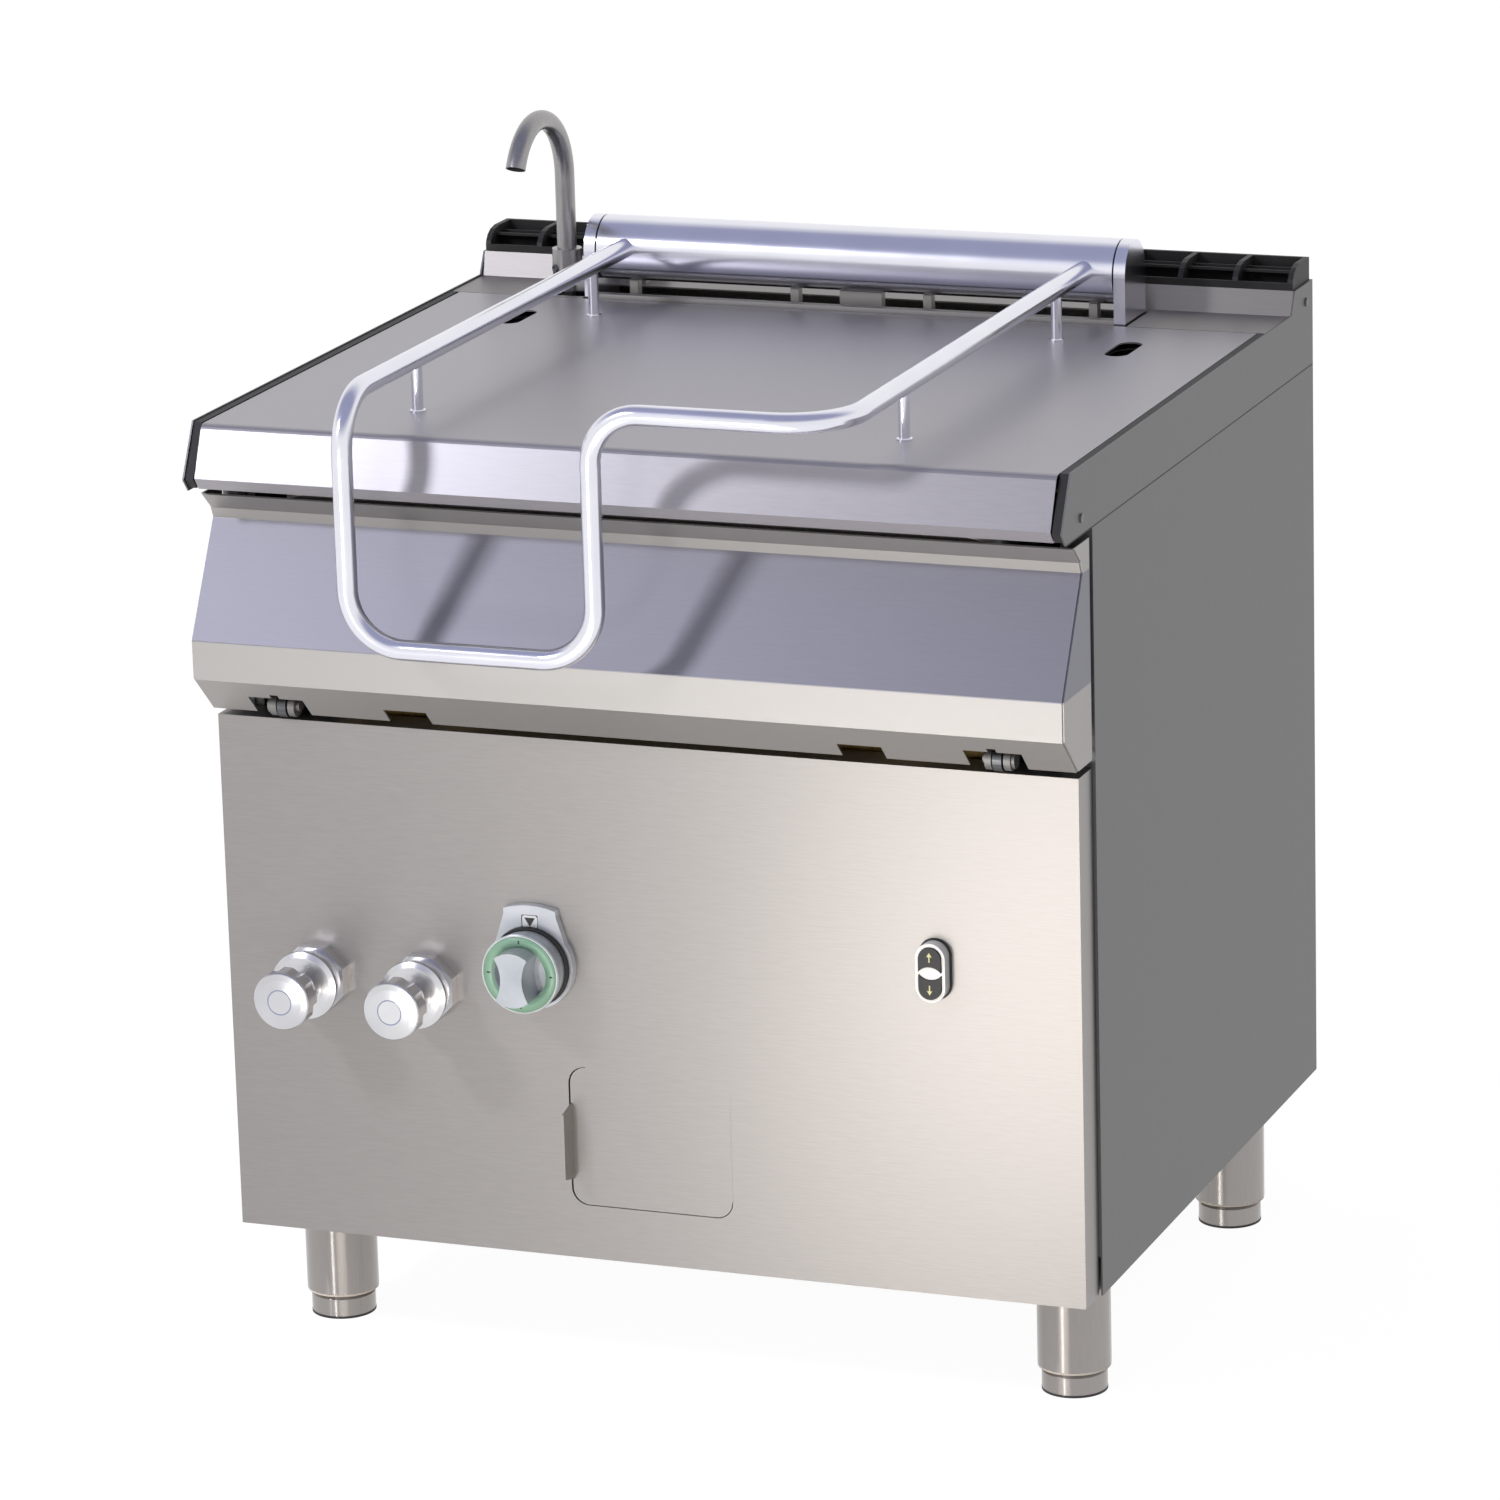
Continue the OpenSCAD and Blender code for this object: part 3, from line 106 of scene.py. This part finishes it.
# Stainless sheet or tube, ground to a satin: the grain runs one way and drags each highlight
# along it. Grain lines are 0.2 mm apart on the real sheet and drawn 1.2 mm apart to show.
def satinSteel(name, look):
    material, tree = blank(name)
    along = {"x": (0.06, 1, 1), "y": (1, 0.06, 1), "z": (1, 1, 0.06)}[look.get("grain", "x")]
    grainScale = 1000 / look.get("grainWidth", 1.2)
    grain = noise(tree, tuple(grainScale * a for a in along), 3.0, 0.6)
    cloud = noise(tree, 6, 2.0)
    speck = noise(tree, 1600, 1.0)
    tone = mixed(tree, remap(tree, grain, 0.3, 0.7, 0.0, 1.0), rgb(look["dark"]), rgb(look["light"]))
    spread = look.get("cloud", 0.06)
    shade = remap(tree, cloud, 0.3, 0.7, 1.0 - spread, 1.0)
    tone = mixed(tree, shade, rgb(look["dark"]), tone)
    if "floorReflectionBand" in look:
        # The folds above and below the sloping face are painted lighter and warmer: a painted reflection of
        # the bright floor they face
        low, high = look["floorReflectionBand"]
        level = add(tree, "ShaderNodeSeparateXYZ", {0: objectPoint(tree)}).outputs["Z"]
        under = remap(tree, level, low - 0.001, low, 1.0, 0.0)
        over = remap(tree, level, high, high + 0.001, 0.0, 1.0)
        paintedReflection = add(tree, "ShaderNodeMath", {0: under, 1: over}, operation="MAXIMUM")
        tone = mixed(tree, paintedReflection.outputs[0], tone, rgb(look["outer"]))
    rough = look["rough"]
    roughness = remap(tree, grain, 0.3, 0.7, rough - 0.015, rough + 0.015)
    bump = add(tree, "ShaderNodeBump", {"Height": speck, "Strength": look.get("bump", 0.04),
                                        "Distance": 0.0002})
    shader = add(tree, "ShaderNodeBsdfPrincipled", {
        "Base Color": tone, "Metallic": look.get("metal", 0.8), "Roughness": roughness,
        "Normal": bump.outputs["Normal"]})
    if look.get("stretch"):
        # The grain drags a highlight across itself: here along the object's own height
        across = add(tree, "ShaderNodeVectorTransform", {"Vector": (0, 0.25, 1)}, vector_type="VECTOR",
                     convert_from="OBJECT", convert_to="WORLD")
        shader.inputs["Anisotropic"].default_value = look["stretch"]
        tree.links.new(across.outputs["Vector"], shader.inputs["Tangent"])
    add(tree, "ShaderNodeOutputMaterial", {"Surface": shader.outputs["BSDF"]})
    return material


# Chrome plate or mirror-polished tube: clear reflections, a little softened by fine wiping marks
def polishedSteel(name, look):
    material, tree = blank(name)
    marks = noise(tree, 500, 2.0)
    smear = noise(tree, 18, 2.0)
    tone = mixed(tree, remap(tree, smear, 0.35, 0.65, 0.0, 1.0), rgb(look["dark"]), rgb(look["light"]))
    roughness = remap(tree, smear, 0.3, 0.7, look["rough"] - 0.01, look["rough"] + 0.01)
    bump = add(tree, "ShaderNodeBump", {"Height": marks, "Strength": look.get("bump", 0.015),
                                        "Distance": 0.0002})
    shader = add(tree, "ShaderNodeBsdfPrincipled", {
        "Base Color": tone, "Metallic": look.get("metal", 1.0), "Roughness": roughness,
        "Normal": bump.outputs["Normal"]})
    add(tree, "ShaderNodeOutputMaterial", {"Surface": shader.outputs["BSDF"]})
    return material


# Moulded plastic, rubber, enamel or paint: a fine even skin with slight blotches
def skin(name, look):
    material, tree = blank(name)
    grain = noise(tree, 1000 / look.get("grainWidth", 0.5), 3.0)
    blotch = noise(tree, 40, 2.0)
    tone = mixed(tree, remap(tree, blotch, 0.35, 0.65, 0.0, 1.0), rgb(look["dark"]), rgb(look["light"]))
    bump = add(tree, "ShaderNodeBump", {"Height": grain, "Strength": look.get("bump", 0.1),
                                        "Distance": 0.0003})
    roughness = remap(tree, grain, 0.3, 0.7, look["rough"] - 0.05, look["rough"] + 0.05)
    shader = add(tree, "ShaderNodeBsdfPrincipled", {
        "Base Color": tone, "Metallic": look.get("metal", 0.0), "Roughness": roughness,
        "Normal": bump.outputs["Normal"]})
    shader.inputs["Coat Weight"].default_value = look.get("coat", 0.0)
    add(tree, "ShaderNodeOutputMaterial", {"Surface": shader.outputs["BSDF"]})
    return material


finishes = {
    "satin_steel": (satinSteel, {"light": "#9b9794", "dark": "#95918e", "rough": 0.42, "grain": "x",
                                 "metal": 0.8, "stretch": 0.6, "cloud": 0.03}),
    # The apron's folds get the outer colour, lighter and warmer than the sloping face: a painted reflection
    # of the floor
    "apron_steel": (satinSteel, {"light": "#8a8991", "dark": "#85848c", "rough": 0.5, "grain": "x",
                                 "metal": 0.85, "cloud": 0.03, "floorReflectionBand": (0.6629, 0.7604),
                                 "outer": "#aca9a6"}),
    "lid_steel": (satinSteel, {"light": "#aaa7ab", "dark": "#a4a1a5", "rough": 0.36, "grain": "x",
                               "metal": 0.65, "bump": 0.08}),
    # Side panels: the same stainless as the front, with the base colour darkened to the shaded side's value:
    # painted shade
    "panel_steel": (satinSteel, {"light": "#747474", "dark": "#6c6c6c", "rough": 0.45, "grain": "z",
                                 "metal": 0.7}),
    "inner_steel": (satinSteel, {"light": "#8b8987", "dark": "#7d7b79", "rough": 0.5, "grain": "z"}),
    "vessel_steel": (satinSteel, {"light": "#c0bebc", "dark": "#b0aeac", "rough": 0.35, "grain": "y"}),
    "frame_steel": (satinSteel, {"light": "#9c9b9a", "dark": "#8c8b8a", "rough": 0.5, "grain": "z"}),
    "leg_steel": (satinSteel, {"light": "#a7a29e", "dark": "#a09b97", "rough": 0.32, "grain": "z",
                               "metal": 0.9, "stretch": 1.0}),
    "spout_steel": (satinSteel, {"light": "#a8a6a5", "dark": "#979594", "rough": 0.3, "grain": "z",
                                 "metal": 0.9}),
    "machined_steel": (satinSteel, {"light": "#67686a", "dark": "#585a5c", "rough": 0.35, "grain": "x"}),
    "spring_steel": (satinSteel, {"light": "#5e5f63", "dark": "#4c4d50", "rough": 0.35, "grain": "x"}),
    "burner_steel": (satinSteel, {"light": "#8c8880", "dark": "#6e665c", "rough": 0.5, "grain": "y"}),
    "gas_brass": (satinSteel, {"light": "#d8b878", "dark": "#c09c58", "rough": 0.3, "grain": "z",
                               "metal": 1.0}),
    "water_copper": (satinSteel, {"light": "#d29a78", "dark": "#b87c5a", "rough": 0.3, "grain": "z",
                                  "metal": 1.0}),
    "polished_chrome": (polishedSteel, {"light": "#e8e8f0", "dark": "#e4e4ed", "rough": 0.19,
                                        "bump": 0.003}),
    "satin_chrome": (polishedSteel, {"light": "#d6d6d8", "dark": "#cacacd", "rough": 0.24}),
    "seal_rubber": (skin, {"light": "#202020", "dark": "#171717", "rough": 0.6}),
    "cast_black": (skin, {"light": "#262625", "dark": "#191918", "rough": 0.55, "bump": 0.35,
                          "grainWidth": 1.2}),
    "box_plastic": (skin, {"light": "#cfcfc9", "dark": "#c3c3bd", "rough": 0.5}),
    "motor_paint": (skin, {"light": "#5a6670", "dark": "#4c5862", "rough": 0.4, "coat": 0.3}),
    "bezel_paint": (skin, {"light": "#ced2d6", "dark": "#c4c8cd", "rough": 0.32, "metal": 0.2,
                           "coat": 0.2}),
    "knob_grey": (skin, {"light": "#bcc1c6", "dark": "#adb3b8", "rough": 0.34, "metal": 0.3}),
    "switch_white": (skin, {"light": "#f2f2ee", "dark": "#e8e8e4", "rough": 0.22, "coat": 0.4}),
    "contact_plastic": (skin, {"light": "#4e6a5a", "dark": "#42594b", "rough": 0.5}),
    "button_black": (skin, {"light": "#181818", "dark": "#111111", "rough": 0.5}),
}
materials = {slot: make("finish " + slot.replace("_", " "), look) for slot, (make, look) in finishes.items()}
slotOf = {s["node"]: s["material_slot"] for s in frame["record"]["subparts"]}
for name, obj in nodes.items():
    obj.data.materials.clear()
    obj.data.materials.append(materials[slotOf[name]])
print("finishes on the frame's nodes")


# Shapes: sizes in mm, depths counted from the front panel's face
def meshPiece(name, points, faces, material, body):
    mesh = bpy.data.meshes.new(name)
    corners = np.asarray(points, float).reshape(-1, 3)
    mesh.from_pydata(corners.tolist(), [], [list(map(int, f)) for f in faces])
    mesh.update()
    obj = bpy.data.objects.new(name, mesh)
    scene.collection.objects.link(obj)
    obj.data.materials.append(material)
    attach(obj, body)
    return obj


def roundFaces(rows, count):
    # Quads between neighbouring rings of count points, the last ring joined to the first
    i, k = np.meshgrid(np.arange(rows), np.arange(count), indexing="ij")
    j, m = (i + 1) % rows, (k + 1) % count
    return np.stack([i * count + k, j * count + k, j * count + m, i * count + m], -1).reshape(-1, 4)


def prism(name, outline, front, back, material, body, slot):
    # A closed outline in x and z, counter-clockwise from the front, from the front depth to the back
    flat = np.asarray(outline, float)
    n = len(flat)
    near = np.column_stack([flat[:, 0], np.full(n, front - middle), flat[:, 1]]) * mm
    far = near + np.array([0, (back - front) * mm, 0])
    i = np.arange(n)
    j = (i + 1) % n
    faces = [list(i), list(i[::-1] + n)] + np.stack([i, i + n, j + n, j], 1).tolist()
    return meshPiece(name, np.vstack([near, far]), faces, material, body)


def turned(name, profile, centre, material, body, count=96):
    # A closed loop of radius and depth pairs, its last the same as its first, carried round an axis along y
    pr = np.asarray(profile, float)[:-1]
    a = np.linspace(0, 2 * np.pi, count, endpoint=False)
    x = centre[0] + pr[:, :1] * np.cos(a)
    z = centre[1] + pr[:, :1] * np.sin(a)
    y = np.broadcast_to(pr[:, 1:] - middle, x.shape)
    faces = roundFaces(len(pr), count)
    obj = meshPiece(name, np.stack([x, y, z], -1) * mm, faces.tolist(), material, body)
    obj.data.polygons.foreach_set("use_smooth", np.ones(len(faces), bool))
    return obj


def levelRing(name, x, depth, radii, heights, material, body, slot, count=64):
    # A flat ring about an upright axis: the four corners of its section carried round z
    a = np.linspace(0, 2 * np.pi, count, endpoint=False)
    (inner, outer), (low, high) = radii, heights
    section = np.array([[inner, low], [inner, high], [outer, high], [outer, low]])
    r, z = section[:, :1], section[:, 1:]
    rows = np.stack([x + r * np.cos(a), depth - middle + r * np.sin(a), np.broadcast_to(z, (4, count))], -1)
    return meshPiece(name, rows * mm, roundFaces(4, count), material, body)


def ringPlate(name, centre, radii, front, thick, material, body):
    # A flat ring: inner edge, face, outer edge and back as one turned loop
    inner, outer = radii
    back = front + thick
    loop = [(inner, back), (inner, front), (outer, front), (outer, back), (inner, back)]
    return turned(name, loop, centre, material, body)


def circlePoints(cx, cz, r, start=0, end=360, count=33):
    a = np.radians(np.linspace(start, end, count))
    return np.column_stack([cx + r * np.cos(a), cz + r * np.sin(a)])


def roundedPoints(cx, cz, w, h, r):
    # Four quarter circles of radius r about the inset corners, counter-clockwise
    corners = ((1, -1, 270), (1, 1, 0), (-1, 1, 90), (-1, -1, 180))
    inset = (w / 2 - r, h / 2 - r)
    return np.vstack([circlePoints(cx + sx * inset[0], cz + sz * inset[1], r, a, a + 90, 9)
                      for sx, sz, a in corners])


def stadiumPoints(cx, cz, w, h):
    # Two half circles as wide as the shape, one at each end
    r = w / 2
    up = circlePoints(cx, cz + (h - w) / 2, r, 0, 180)
    down = circlePoints(cx, cz - (h - w) / 2, r, 180, 360)
    return np.vstack([up, down])


# Printed and pressed marks of the controls
markInk = skin("mark ink dark", {"light": "#30332f", "dark": "#272a27", "rough": 0.5})
greenEnamel = skin("ring enamel green", {"light": "#8fb89c", "dark": "#86ae92", "rough": 0.35, "coat": 0.3})
paleInk = skin("rim ink white", {"light": "#e9ece8", "dark": "#dfe2de", "rough": 0.4})
arrowInk = skin("arrow ink yellow", {"light": "#efe9a8", "dark": "#e4dd98", "rough": 0.45})
windowPlastic = skin("window plastic white", {"light": "#f4f5f5", "dark": "#e9ebeb", "rough": 0.3})
ringInk = skin("tap ring blue grey", {"light": "#8f99b4", "dark": "#828cab", "rough": 0.4})
# One dark finish for the switch's rubber gasket, the dark ring at each foot's bottom, and the painted shade
# of the side seams and the knob's base ring
darkRubberAndShade = skin("dark rubber and painted shade", {"light": "#2c2c2c", "dark": "#202020", "rough": 0.6})

# Gas knob: coloured ring with a pale rim and four marks on its face, dark ring behind it: the knob's black
# base, which also carries painted shade where the knob meets the bezel
knob = {"centre": (-104, 381.5), "face": -34, "ring": (24.3, 34.2), "rim": (34.2, 35.2),
        "mark": (1.4, 3.2), "angles": (90, 180, 270, 360), "thick": 0.2,
        "base": [(33.2, -13.4), (35.8, -13.0), (36.4, -9.4), (35.0, -9.2), (33.2, -9.2), (33.2, -13.4)]}
ringPlate("gas_knob_green_ring", knob["centre"], knob["ring"], knob["face"] - 0.12, knob["thick"],
          greenEnamel, "gas_knob")
ringPlate("gas_knob_white_rim", knob["centre"], knob["rim"], knob["face"] - 0.10, knob["thick"],
          paleInk, "gas_knob")
markWide, markLong = knob["mark"]
for i, angle in enumerate(knob["angles"]):
    a = math.radians(angle)
    out, side = np.array([math.cos(a), math.sin(a)]), np.array([-math.sin(a), math.cos(a)])
    centre = np.array(knob["centre"]) + sum(knob["ring"]) / 2 * out
    box = [centre + s * markLong / 2 * out + t * markWide / 2 * side
           for s, t in ((-1, -1), (1, -1), (1, 1), (-1, 1))]
    prism("gas_knob_mark_%d" % i, box, knob["face"] - 0.2, knob["face"] + 0.05, markInk, "gas_knob",
          "knob_grey")

# Window with the pointer over the knob
window = {"centre": (-104, 421.5), "size": (14.0, 11.6), "edge": 1.3, "round": 2.4, "front": -7.6,
          "pointer": [[0, -4.2], [5.0, 3.8], [-5.0, 3.8]]}
wide, high = window["size"]
prism("gas_window_frame",
      roundedPoints(*window["centre"], wide + window["edge"], high + window["edge"], window["round"]),
      window["front"] + 0.1, window["front"] + 0.7, markInk, "cabinet", "bezel_paint")
prism("gas_window", roundedPoints(*window["centre"], wide, high, window["round"]), window["front"],
      window["front"] + 0.3, windowPlastic, "cabinet", "bezel_paint")
prism("gas_window_pointer", np.array(window["pointer"]) + window["centre"], window["front"] - 0.15,
      window["front"] + 0.05, markInk, "cabinet", "bezel_paint")
# Dark base ring: partly the knob's black base, partly painted shade round its foot
turned("gas_knob_base_shade_ring", knob["base"], knob["centre"], darkRubberAndShade, "gas_knob")

# Ring line round the button of each tap
taps = {"places": ((-312, "water_knob_left"), (-207.5, "water_knob_right")), "z": 352.5,
        "ring": (10.5, 11.5), "front": -82.05, "thick": 0.3}
for x, body in taps["places"]:
    ringPlate(body + "_ring", (x, taps["z"]), taps["ring"], taps["front"], taps["thick"], ringInk, body)

# Switch: gasket under the bezel and an arrow on each button
switch = {"x": 266, "z": 408, "size": (29.4, 55.0), "shift": (0.5, 0.4), "gasket": (-1.4, -0.05),
          "arrow": (-15.15, -14.9), "rise": 14.5}
arrow = np.array([[-0.55, -4.2], [0.55, -4.2], [0.55, 0.6], [2.4, 0.6], [0, 4.4], [-2.4, 0.6],
                  [-0.55, 0.6]])
moved = np.array([switch["x"], switch["z"]]) + switch["shift"]
prism("switch_gasket", stadiumPoints(*moved, *switch["size"]), *switch["gasket"], darkRubberAndShade,
      "cabinet", "seal_rubber")
prism("up_arrow", arrow + [switch["x"], switch["z"] + switch["rise"]], *switch["arrow"], arrowInk,
      "up_button", "button_black")
prism("down_arrow", (arrow * [1, -1])[::-1] + [switch["x"], switch["z"] - switch["rise"]],
      *switch["arrow"], arrowInk, "down_button", "button_black")
print("marks of the controls")


# Lip along the flap's upper and right edges: it narrows the seam there to 0.3 mm
lip = {"left": -74.5, "right": 74.5, "top": 290, "bottom": 164, "round": 15, "wide": 0.7,
       "depths": (0.02, 0.37)}


def lipPoints(out):
    # From the upper left round the upper right corner down to the lower right, grown outwards by out
    r = lip["round"]
    upper = circlePoints(lip["right"] - r, lip["top"] - r, r + out, 90, 0, 13)
    start = [(lip["left"] + r, lip["top"] + out)]
    return np.vstack([start, upper, [(lip["right"] + out, lip["bottom"] + r)]])


prism("flap_edge_lip", np.vstack([lipPoints(0.0), lipPoints(lip["wide"])[::-1]]), *lip["depths"],
      materials["satin_steel"], "access_flap", "satin_steel")

# Dark lines between the side panels and the cheeks: painted shade of the joint, drawn as thin dark strips
# where the flat panels meet
seam = {"z": (794.45, 795.55), "x": (399.6, 400.12), "depths": (-33, 688.5)}
low, high = seam["z"]
for side, name in ((-1, "left"), (1, "right")):
    x0, x1 = sorted(side * x for x in seam["x"])
    prism("side_seam_shade_" + name, [(x0, low), (x1, low), (x1, high), (x0, high)], *seam["depths"], darkRubberAndShade,
          "cabinet", "seal_rubber")

# Set screw of the spout's socket: a loop from the bottom of its hollow round its head, turned to the left
socket = {"centre": (-293, 874), "depth": 582.5, "radius": 14, "turn": -32,
          "screw": [(0.05, 0.6), (1.7, 0.6), (1.7, -1.6), (3.5, -1.6), (4.0, -1.2), (4.0, 2.5), (0.05, 2.5),
                    (0.05, 0.6)]}
profile = np.array(socket["screw"]) + [0, socket["depth"] - socket["radius"]]
screw = turned("spout_set_screw", profile, socket["centre"], materials["machined_steel"], "pan",
               32)
pivot = Matrix.Translation(place(socket["centre"][0], socket["depth"], 0))
screw.data.transform(pivot @ Matrix.Rotation(math.radians(socket["turn"]), 4, "Z") @ pivot.inverted())

# Bush under each leg's tube and a dark ring at the bottom of each foot
legs = {"x": 350, "depths": {"front": 107, "rear": 570}, "bush": (22.1, 23.8), "bushRadii": (27.5, 32.2),
        "footRingHeights": (0.05, 2.2), "footRingRadii": (27.5, 29.2)}
bushPlastic = skin("leg bush beige", {"light": "#f1e7da", "dark": "#e9decf", "rough": 0.5})
for row, depth in legs["depths"].items():
    for side, sign in (("left", -1), ("right", 1)):
        spot = (sign * legs["x"], depth)
        levelRing("leg_bush_%s_%s" % (row, side), *spot, legs["bushRadii"], legs["bush"], bushPlastic,
                  "cabinet", "seal_rubber")
        levelRing("foot_pad_%s_%s" % (row, side), *spot, legs["footRingRadii"], legs["footRingHeights"], darkRubberAndShade,
                  "foot_%s_%s" % (row, side), "seal_rubber")
print("lip, seams, set screw, bushes and pads")


# Stage, light and camera
stage = {"floor": 7.0, "floorPlain": "#dcdad6", "floorShadow": "#7c7c7c", "floorGlow": 0.93,
         "ambient": 0.62, "warm": "#dedad2", "cool": "#cfd0e0", "ceiling": "#a2a5c0"}
view = {"azimuth": 21.198, "elevation": 15.48, "roll": -1.576, "target": (2.8, 257.2, 513.3),
        "distance": 6.265, "lens": 168.3}
lamps = {"key lamp": {"at": (-1.75, -2.3, 2.45), "aim": (0, 0, 0.6), "size": 0.4, "energy": 30,
                      "colour": "#f4f5ff"},
         "low lamp": {"at": (-0.57, -3.23, 0.15), "aim": (0.1, 0, 0.35), "size": 0.3, "energy": 15,
                      "colour": "#ffffff"},
         "bounce lamp": {"at": (0.1, -1.1, 0.03), "aim": (0, -0.1, 0.6), "size": 0.6, "energy": 4.5,
                         "colour": "#fff8ef"}}
white = (1, 1, 1, 1)


def seenRays(tree, path):
    # 1 for camera, glossy and transmission rays, 0 for the rays that light the object
    seen = add(tree, "ShaderNodeMath", {0: path.outputs["Is Camera Ray"], 1: path.outputs["Is Glossy Ray"]},
               operation="MAXIMUM")
    return add(tree, "ShaderNodeMath", {0: seen.outputs[0], 1: path.outputs["Is Transmission Ray"]},
               operation="MAXIMUM").outputs[0]


def makeFloor():
    size = stage["floor"]
    mesh = bpy.data.meshes.new("floor")
    corners = [(-size, -size, 0), (size, -size, 0), (size, size, 0), (-size, size, 0)]
    mesh.from_pydata(corners, [], [(0, 1, 2, 3)])
    floor = bpy.data.objects.new("floor", mesh)
    scene.collection.objects.link(floor)
    material, tree = blank("pale floor")
    # Seen directly or in metal, the floor glows nearly white and keeps a faint shadow
    plain = add(tree, "ShaderNodeBsdfDiffuse", {"Color": rgb(stage["floorPlain"])})
    shadowed = add(tree, "ShaderNodeBsdfDiffuse", {"Color": rgb(stage["floorShadow"])})
    glow = add(tree, "ShaderNodeEmission", {"Color": white, "Strength": stage["floorGlow"]})
    shown = add(tree, "ShaderNodeAddShader", {0: shadowed.outputs[0], 1: glow.outputs[0]})
    seen = seenRays(tree, add(tree, "ShaderNodeLightPath"))
    both = add(tree, "ShaderNodeMixShader", {0: seen, 1: plain.outputs[0], 2: shown.outputs[0]})
    add(tree, "ShaderNodeOutputMaterial", {"Surface": both.outputs[0]})
    mesh.materials.append(material)


def makeWorld():
    world = bpy.data.worlds.new("studio")
    scene.world = world
    world.use_nodes = True
    tree = world.node_tree
    tree.nodes.clear()
    path = add(tree, "ShaderNodeLightPath")
    coords = add(tree, "ShaderNodeTexCoord")
    heading = add(tree, "ShaderNodeSeparateXYZ", {0: coords.outputs["Generated"]})
    height = heading.outputs["Z"]
    tint = mixed(tree, remap(tree, height, -0.1, 0.5, 0.0, 1.0), rgb(stage["warm"]), rgb(stage["cool"]))
    ambient = add(tree, "ShaderNodeBackground", {"Color": tint, "Strength": stage["ambient"]})
    # The white sweep stands behind and around; metal sees the dimmer, cooler ceiling above and before it
    front = remap(tree, heading.outputs["Y"], 0.15, 0.6, 1.0, 0.0)
    up = remap(tree, height, 0.3, 0.65, 0.0, 1.0)
    dim = add(tree, "ShaderNodeMath", {0: up, 1: front}, operation="MULTIPLY")
    above = mixed(tree, dim.outputs[0], white, rgb(stage["ceiling"]))
    backdrop = mixed(tree, path.outputs["Is Camera Ray"], above, white)
    sweep = add(tree, "ShaderNodeBackground", {"Color": backdrop, "Strength": 1.0})
    seen = seenRays(tree, path)
    both = add(tree, "ShaderNodeMixShader", {0: seen, 1: ambient.outputs[0], 2: sweep.outputs[0]})
    add(tree, "ShaderNodeOutputWorld", {"Surface": both.outputs[0]})


def makeLamp(name, look):
    light = bpy.data.lights.new(name, "AREA")
    light.shape = "DISK"
    light.size = look["size"]
    light.energy = look["energy"]
    light.color = rgb(look["colour"])[:3]
    obj = bpy.data.objects.new(name, light)
    scene.collection.objects.link(obj)
    obj.location = look["at"]
    obj.rotation_euler = (Vector(look["aim"]) - Vector(look["at"])).to_track_quat("-Z", "Y").to_euler()
    obj.visible_camera = False


def makeCamera():
    # The photograph's view: angles about the target, then a small roll about the line of sight
    azimuth, elevation, roll = (math.radians(view[key]) for key in ("azimuth", "elevation", "roll"))
    back = Vector((math.sin(azimuth) * math.cos(elevation), -math.cos(azimuth) * math.cos(elevation),
                   math.sin(elevation)))
    right = Vector((math.cos(azimuth), math.sin(azimuth), 0))
    up = back.cross(right)
    turnedRight = right * math.cos(roll) + up * math.sin(roll)
    turnedUp = up * math.cos(roll) - right * math.sin(roll)
    data = bpy.data.cameras.new("camera")
    data.lens = view["lens"]
    data.sensor_width = 36
    data.sensor_fit = "HORIZONTAL"
    camera = bpy.data.objects.new("camera", data)
    scene.collection.objects.link(camera)
    axes = Matrix((turnedRight, turnedUp, back)).transposed().to_4x4()
    camera.matrix_world = Matrix.Translation(place(*view["target"]) + back * view["distance"]) @ axes
    scene.camera = camera


makeFloor()
makeWorld()
for name, look in lamps.items():
    makeLamp(name, look)
makeCamera()
scene.view_settings.view_transform = "Standard"
print("stage, light and camera")
